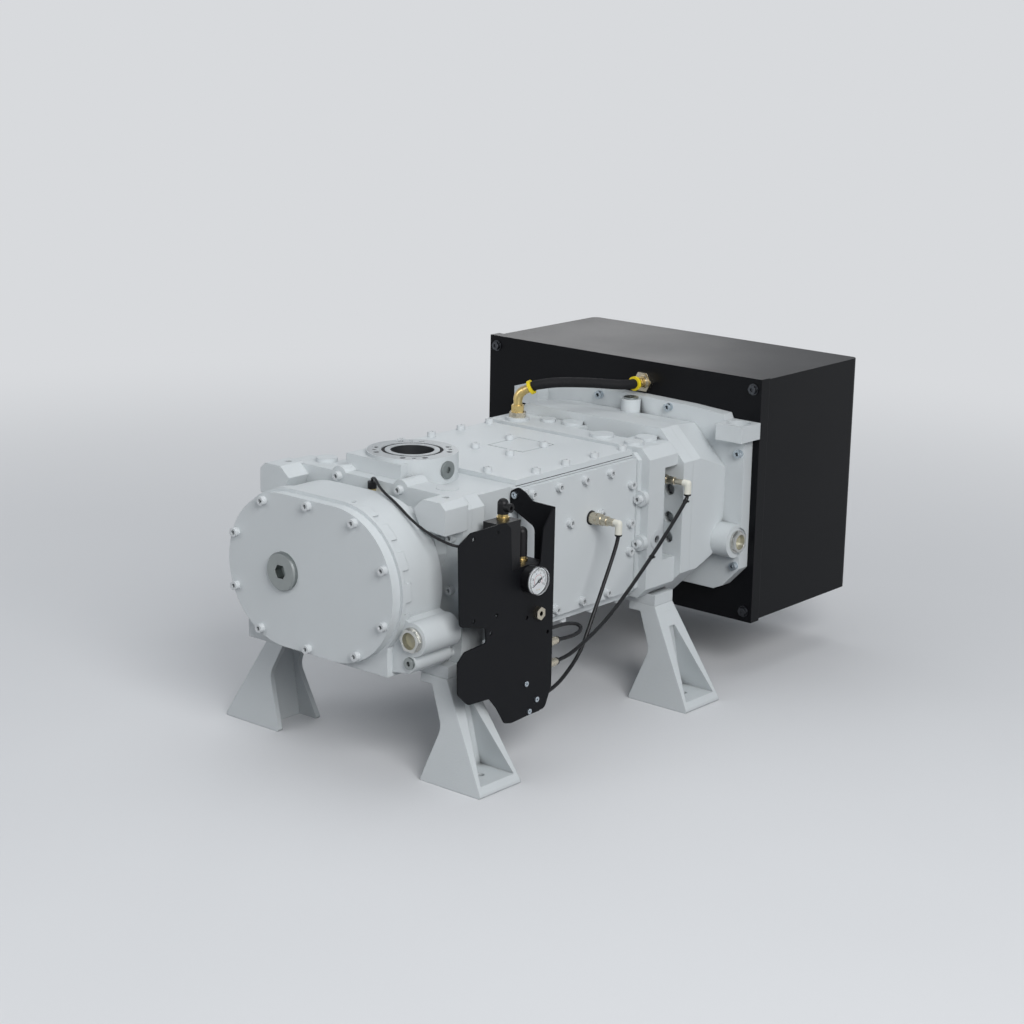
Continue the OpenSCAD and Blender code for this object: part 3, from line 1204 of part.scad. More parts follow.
// Each shaft carries its screw between two ends
module drive_rotor_shaft() {
    color(steel) translate([-shaft_x, 0, 0]) {
        shaft(motor_y0 + motor_l - 20);
        rod_y(0, 0, shaft_r + 3, discharge_y1 + 1, motor_y0 + 26);
    }
}
module driven_rotor_shaft() { color(steel) translate([shaft_x, 0, 0]) shaft(discharge_y1 + 8); }

gear_m = shaft_spacing / gear_teeth;
base_r = shaft_spacing / 2 * cos(20);
function involute(a) = tan(a) * 180 / PI - a;
function half_tooth(r) = 90 / gear_teeth - 0.25 + involute(20) - involute(acos(min(1, base_r / r)));
gear_radii = [base_r + 0.05, base_r + 2, base_r + 4, shaft_spacing / 2 + 0.88 * gear_m];
module timing_gear(turn) {
    root_r = shaft_spacing / 2 - 1.25 * gear_m;
    teeth = [for (i = [0:gear_teeth - 1]) let (a = turn + 360 * i / gear_teeth)
        each concat([[root_r, a - half_tooth(base_r + 0.05)]], [for (r = gear_radii) [r, a - half_tooth(r)]],
            [for (k = [3:-1:0]) [gear_radii[k], a + half_tooth(gear_radii[k])]],
            [[root_r, a + half_tooth(base_r + 0.05)]])];
    color(steel) difference() {
        along_y(gear_y0, gear_y1) polygon([for (q = teeth) [q.x * cos(q.y), q.x * sin(q.y)]]);
        rod_y(0, 0, gear_seat_r + fit / 2, gear_y0 - 1, gear_y1 + 1);
        for (a = [0:60:300]) rod_y(30 * cos(a), 30 * sin(a), 6, gear_y0 - 1, gear_y1 + 1);
        rod_y(0, 0, 38, gear_y0 - 1, gear_y0 + 3);
    }
}
module drive_timing_gear() { translate([-shaft_x, 0, 0]) timing_gear(0); }
module driven_timing_gear() { translate([shaft_x, 0, 0]) timing_gear(180 / gear_teeth); }

module at_bearings() {
    for (x = shaft_xs, y = [neck_y, discharge_y1 - bearing_w]) translate([x, y, axis_z]) rotate([-90, 0, 0]) children();
}
module shaft_bearings() {
    color(steel) at_bearings() difference() {
        cylinder(r = bearing_r, h = bearing_w);
        translate([0, 0, -1]) cylinder(r = 2 * race_r - 24.5, h = bearing_w + 2);
        translate([0, 0, bearing_w / 2]) rotate_extrude() translate([race_r, 0]) circle(ball_r + 0.3, $fn = 32);
    }
    color(steel) at_bearings() translate([0, 0, bearing_w / 2]) {
        for (a = [0:40:320]) rotate([0, 0, a]) translate([race_r, 0, 0]) sphere(ball_r, $fn = 24);
        rotate_extrude() translate([race_r - 1, -2]) square([2, 4]);
    }
}
module shaft_seals() {
    color(black) for (x = shaft_xs, y = [casing_y0 - 12, casing_y1]) translate([x, y, axis_z]) rotate([-90, 0, 0]) difference() {
        cylinder(r = seal_r, h = 12);
        translate([0, 0, -1]) cylinder(r = shaft_r + 0.3, h = 14);
    }
}

rotor_casing();
jacket_gaskets();
jacket_top_cover();
jacket_right_cover();
jacket_left_cover();
jacket_bottom_cover();
jacket_screws();
inlet_o_ring();
suction_end_plate();
end_plate_screws();
front_gear_case();
front_cover();
front_cover_screws();
front_shaft_plug();
sight_glass_rings();
sight_glasses();
socket_plugs();
discharge_end_plate();
motor_adaptor();
zinc_screws();
foot_front_right();
foot_front_left();
foot_rear_right();
foot_rear_left();
foot_screws();
box_front_panel();
box_hood();
box_screws();
motor_stator();
motor_rotor();
hose_nuts();
hose_fittings();
hose_collars();
water_hose();
gas_panel();
gas_valve_block();
gauge_case();
gauge_dial();
gauge_lens();
gauge_pointer();
panel_bulkhead();
panel_elbows();
panel_elbow_rings();
purge_valves();
purge_elbows();
panel_push_fittings();
purge_tube_front();
purge_tube_rear();
panel_link_tube();
temperature_sensor();
sensor_cap();
sensor_cable();
drive_rotor();
driven_rotor();
drive_rotor_shaft();
driven_rotor_shaft();
drive_timing_gear();
driven_timing_gear();
shaft_bearings();
shaft_seals();
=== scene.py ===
# %% [markdown]
# # Dry screw vacuum pump
# The pump's solids arrive as a fixed frame: castings, covers, screws, motor box, gas panel and the inner
# rotors. This lesson gives each of them its finish, and works out the soft or fine things that solids leave
# plain: the hoses and tubes, the case, dial and clear cap of the gauge, and the small rings, seals and ties.

# %% Imports and the fixed model
import math

import bmesh
import bpy
import numpy as np
from mathutils import Matrix, Vector


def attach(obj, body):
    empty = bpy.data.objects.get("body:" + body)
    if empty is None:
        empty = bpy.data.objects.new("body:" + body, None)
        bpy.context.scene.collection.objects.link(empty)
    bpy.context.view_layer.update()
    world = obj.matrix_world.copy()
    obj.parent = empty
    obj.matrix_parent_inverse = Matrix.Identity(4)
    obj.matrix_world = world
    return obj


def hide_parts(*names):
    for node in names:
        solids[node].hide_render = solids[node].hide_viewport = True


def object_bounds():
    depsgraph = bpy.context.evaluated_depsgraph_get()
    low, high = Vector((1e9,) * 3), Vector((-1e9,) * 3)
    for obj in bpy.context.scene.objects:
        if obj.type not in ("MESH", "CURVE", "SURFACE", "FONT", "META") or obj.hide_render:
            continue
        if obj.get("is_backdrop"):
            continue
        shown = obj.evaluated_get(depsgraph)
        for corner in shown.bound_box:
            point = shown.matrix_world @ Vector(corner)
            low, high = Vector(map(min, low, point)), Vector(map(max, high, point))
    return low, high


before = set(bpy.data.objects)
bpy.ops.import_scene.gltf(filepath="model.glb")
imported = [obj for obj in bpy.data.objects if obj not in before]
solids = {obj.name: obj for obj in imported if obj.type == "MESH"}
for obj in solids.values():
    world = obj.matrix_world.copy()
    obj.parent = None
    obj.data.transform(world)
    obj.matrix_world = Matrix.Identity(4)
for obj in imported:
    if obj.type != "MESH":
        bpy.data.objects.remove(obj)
solid_low, solid_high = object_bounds()
MM = 0.001

# %% [markdown]
# ## Camera
# The photograph looks at the pump from its front right, a little above it, through a long lens. A camera can
# be turned by eye until the edges agree, but here its place, its turn and its slight lean come from a
# least-squares fit of the pump's straight edges, so the numbers are written as they were found.

# %% Camera from the fitted view
camera_place = np.array([2150.6, -2492.1, 1164.2]) * MM
view_turn, view_rise, view_lean = (math.radians(a) for a in (39.95, 14.53, 1.12))


def camera_axes(turn, rise, lean):
    """Right, up and back directions: back points from the pump to the camera, right is level, and the
    first two are then turned about back by the lean."""
    back = np.array([math.sin(turn) * math.cos(rise), -math.cos(turn) * math.cos(rise), math.sin(rise)])
    right = np.array([math.cos(turn), math.sin(turn), 0.0])
    up = np.cross(back, right)
    c, s = math.cos(lean), math.sin(lean)
    return c * right + s * up, c * up - s * right, back


camera_data = bpy.data.cameras.new("camera")
camera_data.lens = 79.55
camera_data.sensor_width = 36.0
camera_data.clip_end = 60.0
camera = bpy.data.objects.new("camera", camera_data)
bpy.context.collection.objects.link(camera)
axes = camera_axes(view_turn, view_rise, view_lean)
camera.matrix_world = Matrix([*np.column_stack([*axes, camera_place]).tolist(), [0, 0, 0, 1]])
bpy.context.scene.camera = camera
print("camera distance, m:", round(float(np.linalg.norm(camera_place)), 3))

# %% [markdown]
# ## Helpers for surfaces
# Every new piece is a grid of points worked out at once with numpy, turned into faces, and handed to
# Blender. One helper makes the mesh, with its own UV map, so that a pattern can follow the surface.

# %% Mesh from a grid


def grid_piece(name, points, closed_round=False, caps=False):
    """A mesh from an array of points with rows along the piece and columns round it. Quad (i, j) joins rows
    i and i + 1. With closed_round the last column joins the first. Caps close both ends with one face."""
    rows, cols = points.shape[:2]
    i, j = np.meshgrid(np.arange(rows - 1), np.arange(cols if closed_round else cols - 1), indexing="ij")
    k = (j + 1) % cols
    quads = np.stack([i * cols + j, i * cols + k, (i + 1) * cols + k, (i + 1) * cols + j], -1).reshape(-1, 4)
    uv = np.stack([np.stack([j, j + 1, j + 1, j], -1) / cols,
                   np.stack([i, i, i + 1, i + 1], -1) / (rows - 1)], -1).reshape(-1, 2)
    faces = quads.tolist()
    if caps:
        faces += [list(range(cols))[::-1], list(range((rows - 1) * cols, rows * cols))]
        uv = np.concatenate([uv, np.zeros((2 * cols, 2))])
    mesh = bpy.data.meshes.new(name)
    mesh.from_pydata(points.reshape(-1, 3).tolist(), [], faces)
    layer = mesh.uv_layers.new(name="UVMap")
    layer.data.foreach_set("uv", uv.astype(np.float32).ravel())
    mesh.polygons.foreach_set("use_smooth", [True] * len(quads) + [False] * (len(faces) - len(quads)))
    mesh.update()
    piece = bpy.data.objects.new(name, mesh)
    bpy.context.collection.objects.link(piece)
    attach(piece, "pump")
    return piece


def unit(v):
    """Each vector divided by its length."""
    return v / np.linalg.norm(v, axis=-1, keepdims=True)


def carried_ring(path, radius, reference, sides=20):
    """A circle carried along a path: at each point a side direction is square to the path and to a reference
    direction, and the ring is point + radius * (cos a * side + sin a * other side)."""
    along = unit(np.gradient(path, axis=0))
    side = unit(np.cross(along, np.asarray(reference, float)))
    other = np.cross(along, side)
    a = np.linspace(0, 2 * np.pi, sides, endpoint=False)
    ring = np.cos(a)[None, :, None] * side[:, None] + np.sin(a)[None, :, None] * other[:, None]
    return path[:, None] + radius * ring


def seal(piece, crease=35):
    """Merges the doubled points of seams and poles, turns the faces outwards, and keeps corners sharper
    than the crease angle crisp."""
    work = bmesh.new()
    work.from_mesh(piece.data)
    bmesh.ops.remove_doubles(work, verts=work.verts, dist=1e-7)
    bmesh.ops.recalc_face_normals(work, faces=work.faces)
    work.to_mesh(piece.data)
    work.free()
    piece.data.set_sharp_from_angle(angle=math.radians(crease))
    return piece


def turned(name, profile, centre, axis, sides=64):
    """A profile of (along, radius) points in mm turned round an axis: each ring is centre + along * axis +
    radius * (cos a * side + sin a * other side). A radius of 0 is a pole. A profile without poles closes
    on itself, so the shell is closed either way."""
    profile = np.asarray(profile, float)
    if profile[0, 1] > 0:
        profile = np.vstack([profile, profile[:1]])
    axis = unit(np.asarray(axis, float))
    side = unit(np.cross(axis, (0.31, 0.87, 0.39)))
    other = np.cross(axis, side)
    a = np.linspace(0, 2 * np.pi, sides, endpoint=False)
    ring = np.cos(a)[:, None] * side + np.sin(a)[:, None] * other
    points = np.asarray(centre, float) + profile[:, :1, None] * axis + profile[:, 1:, None] * ring
    return seal(grid_piece(name, points * MM, closed_round=True))


# %% [markdown]
# ## Hose and tubes
# The cooling water hose is a short rubber hose between two brass ends. The purge tubes and the link tube are
# 6 mm plastic, pushed into their fittings, so both ends go back into the pump. A Bezier curve with a bevel
# would do, but a route of measured points with a smooth Catmull-Rom line through them lies exactly on the
# solids, and a carried ring gives a UV map that follows the hose. The lengths are those of the routes.

# %% Smooth route through points


def smooth_route(first, middle, last, n):
    """A Catmull-Rom line through the middle points, n steps to a span, with straight ends: each span is
    half of 2b + (c - a) t + (2a - 5b + 4c - d) t^2 + (3b - a - 3c + d) t^3."""
    p = np.asarray(middle, float)
    q = np.vstack([p[:1], p, p[-1:]])
    t = np.linspace(0, 1, n, endpoint=False)[None, :, None]
    a, b, c, d = (q[i:len(q) - 3 + i, None] for i in range(4))
    line = 0.5 * (2 * b + (c - a) * t + (2 * a - 5 * b + 4 * c - d) * t**2 + (3 * b - a - 3 * c + d) * t**3)
    return np.vstack([[first], line.reshape(-1, 3), p[-1:], [last]]) * MM


def cord_piece(name, node, route, radius, reference, stiffness, lay):
    """A tube along its route that stands for its solid."""
    skin = carried_ring(route, radius, reference)
    piece = seal(grid_piece(name, skin, closed_round=True, caps=True), 60)
    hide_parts(node)
    return piece


# %% Water hose
elbow_turn, elbow_rise = math.radians(24), math.radians(28)
elbow_bend, elbow_tail = 18, 16
elbow_level = np.array([math.cos(elbow_turn), math.sin(elbow_turn), 0])
elbow_out = math.cos(elbow_rise) * elbow_level + (0, 0, math.sin(elbow_rise))
elbow_up = -math.sin(elbow_rise) * elbow_level + (0, 0, math.cos(elbow_rise))
elbow_foot = np.array([-114, 221, 433])
hose_start = elbow_foot + elbow_bend * (elbow_level + elbow_up) + elbow_tail * elbow_out
hose_route = smooth_route(
    hose_start,
    [hose_start + 6 * elbow_out, (-62, 253, 464), (-36, 299, 461), (-8, 342, 456), (3, 364, 455)],
    (3, 370, 455), 5)
water_hose = cord_piece("water_hose_rubber", "water_hose", hose_route, 0.008, (0, 0, 1), "stiff", "taut")

# %% Purge tubes, link tube and sensor cable
valve_a, valve_b = np.array([196, 77, 315]), np.array([194, 251, 345])
tube_a_route = smooth_route(
    valve_a + (8, 0, -9),
    [valve_a + (8, 0, -18), valve_a + (8, -9, -42), (203, 29, 197), (206, -9, 140), (209, -50, 111),
     (212, -84, 100), (214, -115, 97)],
    (214, -125, 97), 4)
tube_b_route = smooth_route(
    valve_b + (8, 0, -9),
    [valve_b + (8, 0, -18), valve_b + (8, -12, -34), (208, 156, 250), (210, 56, 182), (211, -26, 147),
     (211, -69.5, 140)],
    (211, -80.5, 140), 4)
link_route = smooth_route(
    (211, -80.5, 172),
    [(211, -69.5, 172), (211, -40, 170), (209, -18, 171), (204, -7, 175), (199, -14, 181), (199, -40, 186),
     (203, -83, 189), (203, -115, 189)],
    (203, -125, 189), 3)
cable_route = smooth_route(
    (15, -250, 404),
    [(15, -250, 408), (26, -256, 411), (46, -268, 405), (66, -277, 400), (86, -282, 394), (104, -286, 387),
     (121, -289, 379), (142, -291, 370), (168, -291, 361), (196, -283, 352), (208, -264, 347),
     (209, -246, 345), (208, -230, 345)],
    (208, -223, 345), 2)
tube_r, lead_r = 0.0029, 0.002
thin_cords = [cord_piece(*cord, "loose") for cord in (
    ("purge_tube_front_plastic", "purge_tube_front", tube_a_route, tube_r, (1, 0, 0), "stiff"),
    ("purge_tube_rear_plastic", "purge_tube_rear", tube_b_route, tube_r, (1, 0, 0), "stiff"),
    ("link_tube_plastic", "panel_link_tube", link_route, tube_r, (0, 0, 1), "stiff"),
    ("sensor_lead_plastic", "sensor_cable", cable_route, lead_r, (1, -1, 1), "medium"))]

# %% [markdown]
# ## Pressure gauge
# A small panel gauge is a black case, a white printed dial and a clear plastic cap that is as wide as the
# case, so its rim catches the light. The case and the cap are turned profiles. The scale is real print:
# thin strips and numbers that lie on the dial, which stay sharp however close the camera comes. The pointer
# is the solid one, because it moves.

# %% Gauge case, dial and cap
gauge_centre = np.array([0.0, -154.0, 284.0])
dial_face, print_height = 241.6, 0.08
gauge_case = turned("gauge_case_moulded", [
    (215, 0), (215, 6.6), (215.4, 7), (225, 7), (225, 18.8), (225.6, 19.4), (228, 19.6), (239.2, 19.9),
    (239.2, 20.3), (240.2, 20.3), (240.2, 19.1), (240.6, 0)], gauge_centre, (1, 0, 0), 96)
gauge_dial = turned("gauge_dial_printed", [
    (240.7, 0), (240.7, 18.9), (dial_face, 18.9), (dial_face, 2.6), (242.3, 2.2), (242.4, 0.8), (243.9, 0.8),
    (244.1, 0.5), (244.1, 0)], gauge_centre, (1, 0, 0), 96)
gauge_cap = turned("gauge_cap_clear", [
    (247, 0), (247, 17.6), (246.9, 18.9), (246.5, 19.8), (245.8, 20.4), (241, 20.5), (240.4, 20.4),
    (240.4, 19.3), (245.2, 19.2), (245.7, 18.6), (245.8, 17.6), (245.8, 0)], gauge_centre, (1, 0, 0), 96)
for piece, node in ((gauge_case, "gauge_case"), (gauge_dial, "gauge_dial"), (gauge_cap, "gauge_lens")):
    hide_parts(node)
    print(piece.name, "faces:", len(piece.data.polygons))

# %% Scale, numbers and rivets of the dial
scale_start, scale_sweep = math.radians(241), math.radians(240)


def dial_strip(turn0, turn1, r0, r1, steps):
    """A thin strip on the dial between two radii: the four corners of its section, carried round from
    turn0 to turn1. A turn t, clockwise from the top, is the direction (sin t, cos t) in Y and Z."""
    t = np.linspace(turn0, turn1, steps)[:, None]
    r = np.array([[r0, r1, r1, r0]])
    x = np.broadcast_to(dial_face + print_height * np.array([[0, 0, 1, 1]]), (steps, 4))
    return np.stack([x, gauge_centre[1] + r * np.sin(t), gauge_centre[2] + r * np.cos(t)], -1) * MM


def joined(name, pieces):
    """Several pieces of one finish as one piece."""
    work = bmesh.new()
    for piece in pieces:
        work.from_mesh(piece.data)
        bpy.data.objects.remove(piece)
    mesh = bpy.data.meshes.new(name)
    work.to_mesh(mesh)
    work.free()
    whole = bpy.data.objects.new(name, mesh)
    bpy.context.collection.objects.link(whole)
    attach(whole, "pump")
    return whole


def dial_number(text, turn, radius, height):
    """A number turned into a mesh: its own x and y become Y and Z on the dial, its depth becomes X."""
    curve = bpy.data.curves.new("number", "FONT")
    curve.body, curve.size, curve.extrude = text, height, print_height / 2
    curve.align_x, curve.align_y = "CENTER", "CENTER"
    holder = bpy.data.objects.new("number", curve)
    mesh = bpy.data.meshes.new_from_object(holder)
    bpy.data.objects.remove(holder)
    flat = np.empty(len(mesh.vertices) * 3)
    mesh.vertices.foreach_get("co", flat)
    flat = flat.reshape(-1, 3)[:, [2, 0, 1]]
    place = gauge_centre + (dial_face + print_height / 2, radius * math.sin(turn), radius * math.cos(turn))
    mesh.vertices.foreach_set("co", ((flat + place) * MM).ravel())
    return seal(bpy.data.objects.new("number", mesh))


def printed(points):
    """A closed strip of print."""
    return seal(grid_piece("print", points, closed_round=True, caps=True))


divisions = np.arange(51)
turns = scale_start + scale_sweep * divisions / 50
marks = []
for turn, long in zip(turns, divisions % 5 == 0):
    half = 0.016 if long else 0.008
    marks.append(printed(dial_strip(turn - half, turn + half, 13.4 if long else 14.6, 16.6, 2)))
marks.append(printed(dial_strip(turns[0], turns[-1], 16.5, 16.9, 60)))
marks += [dial_number(str(n), scale_start + scale_sweep * n / 10, 11.2, 4.0) for n in range(0, 11, 2)]
dial_scale = joined("gauge_scale_black", marks)
dial_red = joined("gauge_scale_red", [printed(dial_strip(turns[0], turns[-1], 8.2, 8.7, 48))])
rivets = joined("gauge_dial_rivets", [
    turned("rivet", [(dial_face, 0), (dial_face, 0.9), (dial_face + 0.3, 0.7), (dial_face + 0.42, 0)],
           gauge_centre + (0, y, -12.6), (1, 0, 0), 16) for y in (-2.4, 2.4)])
print("dial marks:", len(marks))

# %% [markdown]
# ## Collars, ties and seals
# A push-in fitting holds its tube behind a black collar that is pressed to let the tube go, a valve seals on a
# rubber ring, and the long rear tube carries two cable ties. All are small turned pieces, each placed from the
# fitting or the tube that it sits on, so they stay with it when a route changes.

# %% Collars of the tubes
collar_profile = [(0, 3.1), (0, 4.9), (0.5, 5.6), (1.8, 5.6), (2.9, 5.0), (3.2, 3.8), (3.0, 3.1)]
elbow_ends = [np.array([204.0, 77, 299]), np.array([202.0, 251, 329])]
collars = [turned("collar", collar_profile, end, (0, 0, -1), 32) for end in elbow_ends]
collars += [turned("collar", collar_profile, (211, -71.5, z), (0, 1, 0), 32) for z in (172, 140)]
tube_collars = joined("tube_collars_black", collars)
print("collars:", len(collars))

# %% Ties of the rear tube


def tie(place, along, width=2.4):
    """A cable tie: a band round a tube at a place, and its head, a small rounded block on the outer side."""
    band = turned("tie", [(0, 2.95), (0, 3.7), (width, 3.7), (width, 2.95)], place, along, 24)
    head = turned("tie", [(0, 0), (0, 1.7), (0.5, 2.2), (3.1, 2.2), (3.6, 1.7), (3.6, 0)],
                  np.asarray(place) + (2.4, 0, 0), (1, 0, 0), 4)
    return [band, head]


tie_steps = [len(tube_b_route) // 5, len(tube_b_route) // 2 - 2]
tube_ties = joined("tube_ties_black", sum(
    [tie(tube_b_route[k] / MM, tube_b_route[k + 1] - tube_b_route[k]) for k in tie_steps], []))
print("ties at steps:", tie_steps)

# %% Seals of the purge valves
front_seal = [(0, 9.05), (0, 10.4), (0.4, 10.9), (1.1, 10.9), (1.5, 10.4), (1.5, 9.05)]
rear_seal = [(0, 7.55), (0, 8.6), (0.4, 9.0), (1.0, 9.0), (1.3, 8.6), (1.3, 7.55)]
valve_seals = joined("valve_seals_rubber", [
    turned("seal", front_seal, (152, 77, 315), (1, 0, 0)),
    turned("seal", rear_seal, (134, 251, 345), (1, 0, 0))])
print("seal faces:", len(valve_seals.data.polygons))

# %% [markdown]
# ## Shader sums
# A finish is a few patterns mixed into one shader. Typing node after node hides the idea, so one small class
# lets a pattern be added, multiplied and turned round like a number, and one method makes any other node.

# %% Signal


class Signal:
    """A number that comes out of a node. Sums on it add Math nodes."""

    def __init__(self, finish, socket):
        self.finish, self.socket = finish, socket

    def sum_node(self, operation, a, b=None):
        values = {0: a} if b is None else {0: a, 1: b}
        return self.finish.node("ShaderNodeMath", {"operation": operation}, values)

    def __add__(self, other):
        return self.sum_node("ADD", self, other)

    def __radd__(self, other):
        return self.sum_node("ADD", other, self)

    def __sub__(self, other):
        return self.sum_node("SUBTRACT", self, other)

    def __rsub__(self, other):
        return self.sum_node("SUBTRACT", other, self)

    def __mul__(self, other):
        return self.sum_node("MULTIPLY", self, other)

    def __rmul__(self, other):
        return self.sum_node("MULTIPLY", other, self)

    def __pow__(self, other):
        return self.sum_node("POWER", self, other)

    def between(self, low, high):
        """0 below low, 1 above high, smooth between them."""
        return self.finish.node("ShaderNodeMapRange", {"interpolation_type": "SMOOTHSTEP"},
                                {"Value": self, "From Min": low, "From Max": high})


# %% Network


class Network:
    """A node tree that sums are written into."""

    def __init__(self, tree):
        self.tree = tree

    def node(self, kind, settings=None, sockets=None, out=0):
        """Any node: its settings first, then the values or links of its sockets."""
        made = self.tree.nodes.new(kind)
        for key, value in (settings or {}).items():
            setattr(made, key, value)
        for key, value in (sockets or {}).items():
            self.join(made.inputs[key], value)
        return Signal(self, made.outputs[out])

    def join(self, socket, value):
        """Links a signal to a socket, or writes a number, a colour or a vector into it."""
        if isinstance(value, Signal):
            self.tree.links.new(value.socket, socket)
        elif not isinstance(value, (int, float)) and len(value) == 3 and socket.type == "RGBA":
            socket.default_value = (*value, 1)
        else:
            socket.default_value = value

    def blend(self, mask, a, b):
        """Colour a where the mask is 0, colour b where it is 1."""
        made = self.tree.nodes.new("ShaderNodeMix")
        made.data_type = "RGBA"
        self.join(made.inputs[0], mask)
        self.join(made.inputs[6], a)
        self.join(made.inputs[7], b)
        return Signal(self, made.outputs[2])

    def seen(self):
        """1 for rays from the camera, off a gloss or through glass, 0 for light between dull surfaces."""
        direct, gloss, clear = (self.node("ShaderNodeLightPath", out="Is %s Ray" % ray)
                                for ray in ("Camera", "Glossy", "Transmission"))
        return direct.sum_node("MAXIMUM", direct, direct.sum_node("MAXIMUM", gloss, clear))


# %% Finish


class Finish(Network):
    """A material with one Principled shader, whose sockets take numbers, colours or signals."""

    def __init__(self, name, **sockets):
        self.material = bpy.data.materials.new(name)
        self.material.use_nodes = True
        super().__init__(self.material.node_tree)
        self.shader = self.tree.nodes["Principled BSDF"]
        self.place = self.node("ShaderNodeTexCoord", out="Object")
        for key, value in sockets.items():
            self.set(key.replace("_", " "), value)

    def set(self, name, value):
        """Gives one of the shader's sockets a number, a colour or a signal."""
        self.join(self.shader.inputs[name], value)
        return self

    def noise(self, scale, detail=2.0, vector=None):
        """Soft random pattern with features about 1 / scale metres wide."""
        place = vector or self.place
        return self.node("ShaderNodeTexNoise", None, {"Scale": scale, "Detail": detail, "Vector": place})

    def hollow(self, reach, low=0.16, high=0.38):
        """Mask for painted shade: 1 deep inside holes and sockets, where less of the open space within reach is
        left than in a plain inner corner, which still sees half of it."""
        settings = {"samples": 6, "only_local": True}
        open_space = self.node("ShaderNodeAmbientOcclusion", settings, {"Distance": reach}, "AO")
        return 1 - open_space.between(low, high)

    def coordinates(self):
        """X, Y and Z of the place on the pump, in metres."""
        return [self.node("ShaderNodeSeparateXYZ", None, {0: self.place}, axis) for axis in ("X", "Y", "Z")]

    def relief(self, height, depth, round_edges=0.0):
        """Bumps of that depth in metres, over edges that look rounded by the given radius."""
        sockets = {"Height": height, "Distance": depth}
        if round_edges:
            sockets["Normal"] = self.node("ShaderNodeBevel", {"samples": 4}, {"Radius": round_edges})
        return self.set("Normal", self.node("ShaderNodeBump", None, sockets))


# %% Colours, and the finish of a solid


def srgb(r, g, b):
    """A screen colour, 0 to 255, as light: ((c / 255 + 0.055) / 1.055) ^ 2.4."""
    c = np.array([r, g, b]) / 255
    return tuple(float(v) for v in np.where(c < 0.04045, c / 12.92, ((c + 0.055) / 1.055) ** 2.4))


def tinted(colour, factor):
    """A colour made darker or lighter by a factor, no lighter than white."""
    return tuple(min(factor * c, 1) for c in colour)


dressed = set()


def dress(finish, *nodes):
    """Gives solids their finish."""
    for node in nodes:
        materials = solids[node].data.materials
        materials.clear()
        materials.append(finish.material)
        dressed.add(node)


# %% [markdown]
# ## Painted castings
# The casting, covers and feet are iron, sprayed light grey. Real paint on a sand casting is never flat: the
# sand leaves a soft pebble under it, the gloss wanders a little, and every edge is rounded. Rounding the
# edges of the solids would cost many faces, so the Bevel node bends the light at them instead.

# %% Casting paint


def casting_paint(name, colour, pebble, edge, shade_reach=0.03):
    """Grey paint: coarse noise shifts the colour by a few percent, fine noise is the pebble. The inside of
    holes and sockets is painted dark, as painted shade."""
    paint = Finish(name, Specular_IOR_Level=0.42)
    cloud, grain = paint.noise(9, 4), paint.noise(620, 3)
    worn = paint.noise(160, 5).between(0.62, 0.8)
    shade = paint.blend(cloud, tinted(colour, 0.93), tinted(colour, 1.04))
    shade = paint.blend(worn * 0.25, shade, tinted(colour, 0.86))
    # Painted shade: the inside of holes and sockets darkens to srgb(52, 54, 56).
    paint.set("Base Color", paint.blend(paint.hollow(shade_reach), shade, srgb(52, 54, 56)))
    paint.set("Roughness", 0.42 + 0.14 * cloud)
    return paint.relief(grain + 0.6 * paint.noise(190, 2), pebble, edge)


grey = srgb(206, 211, 213)
cast_grey = casting_paint("casting_grey", grey, 0.00022, 0.0016)

# %% [markdown]
# The inlet's face is turned after painting, so it is bare grey iron with fine rings. The bore and bolt holes
# below it are painted dark, as painted shade. A separate solid for that face would leave a seam, so masks on
# the distance from the inlet's axis and on the height pick these out.

# %% Casing with its machined inlet
inlet_y, inlet_face = -0.1507, 0.4314
face_r, groove_r = 0.0655, 0.0572
port_floor = 0.330
ring_rate = 9000.0  # radians in a metre: a turning mark about every 0.7 mm
casing_grey = casting_paint("casing_grey", grey, 0.00022, 0.0016)
x, y, z = casing_grey.coordinates()
from_axis = (x * x + (y - inlet_y) * (y - inlet_y)) ** 0.5
on_face = z.between(inlet_face - 0.00025, inlet_face - 0.00015)
turned_face = on_face * (1 - from_axis.between(face_r, face_r + 0.0005))
below_face = 1 - z.between(inlet_face - 0.0010, inlet_face - 0.0004)
in_port = 1 - from_axis.between(groove_r, groove_r + 0.0008)
# Painted shade: the bore and the bolt holes below the inlet face darken to srgb(44, 46, 48).
port_shade = below_face * in_port * z.between(port_floor, port_floor + 0.004)
rings = from_axis.sum_node("SINE", from_axis * ring_rate) * 0.5 + 0.5
paint_colour = Signal(casing_grey, casing_grey.shader.inputs["Base Color"].links[0].from_socket)
paint_rough = Signal(casing_grey, casing_grey.shader.inputs["Roughness"].links[0].from_socket)
bare = casing_grey.blend(rings, srgb(168, 172, 174), srgb(186, 190, 192))
face_colour = casing_grey.blend(turned_face, paint_colour, bare)
casing_grey.set("Base Color", casing_grey.blend(port_shade, face_colour, srgb(44, 46, 48)))
casing_grey.set("Metallic", turned_face * 0.85)
casing_grey.set("Roughness", paint_rough * (1 - turned_face) + turned_face * (0.34 + 0.10 * rings))
dress(casing_grey, "rotor_casing")

# %% Castings, covers, feet and painted screws
cover_grey = casting_paint("cover_grey", srgb(209, 214, 216), 0.00012, 0.0010)
foot_grey = casting_paint("foot_grey", srgb(205, 210, 212), 0.00026, 0.0022)
screw_grey = casting_paint("screw_grey", srgb(208, 212, 214), 0.00005, 0.0005, 0.006)
dress(cast_grey, "suction_end_plate", "front_gear_case", "discharge_end_plate", "motor_adaptor")
dress(cover_grey, "jacket_top_cover", "jacket_right_cover", "jacket_left_cover", "jacket_bottom_cover",
      "front_cover")
dress(foot_grey, "foot_front_right", "foot_front_left", "foot_rear_right", "foot_rear_left")
dress(screw_grey, "jacket_screws", "end_plate_screws", "front_cover_screws", "foot_screws")
print("painted solids:", len(dressed))

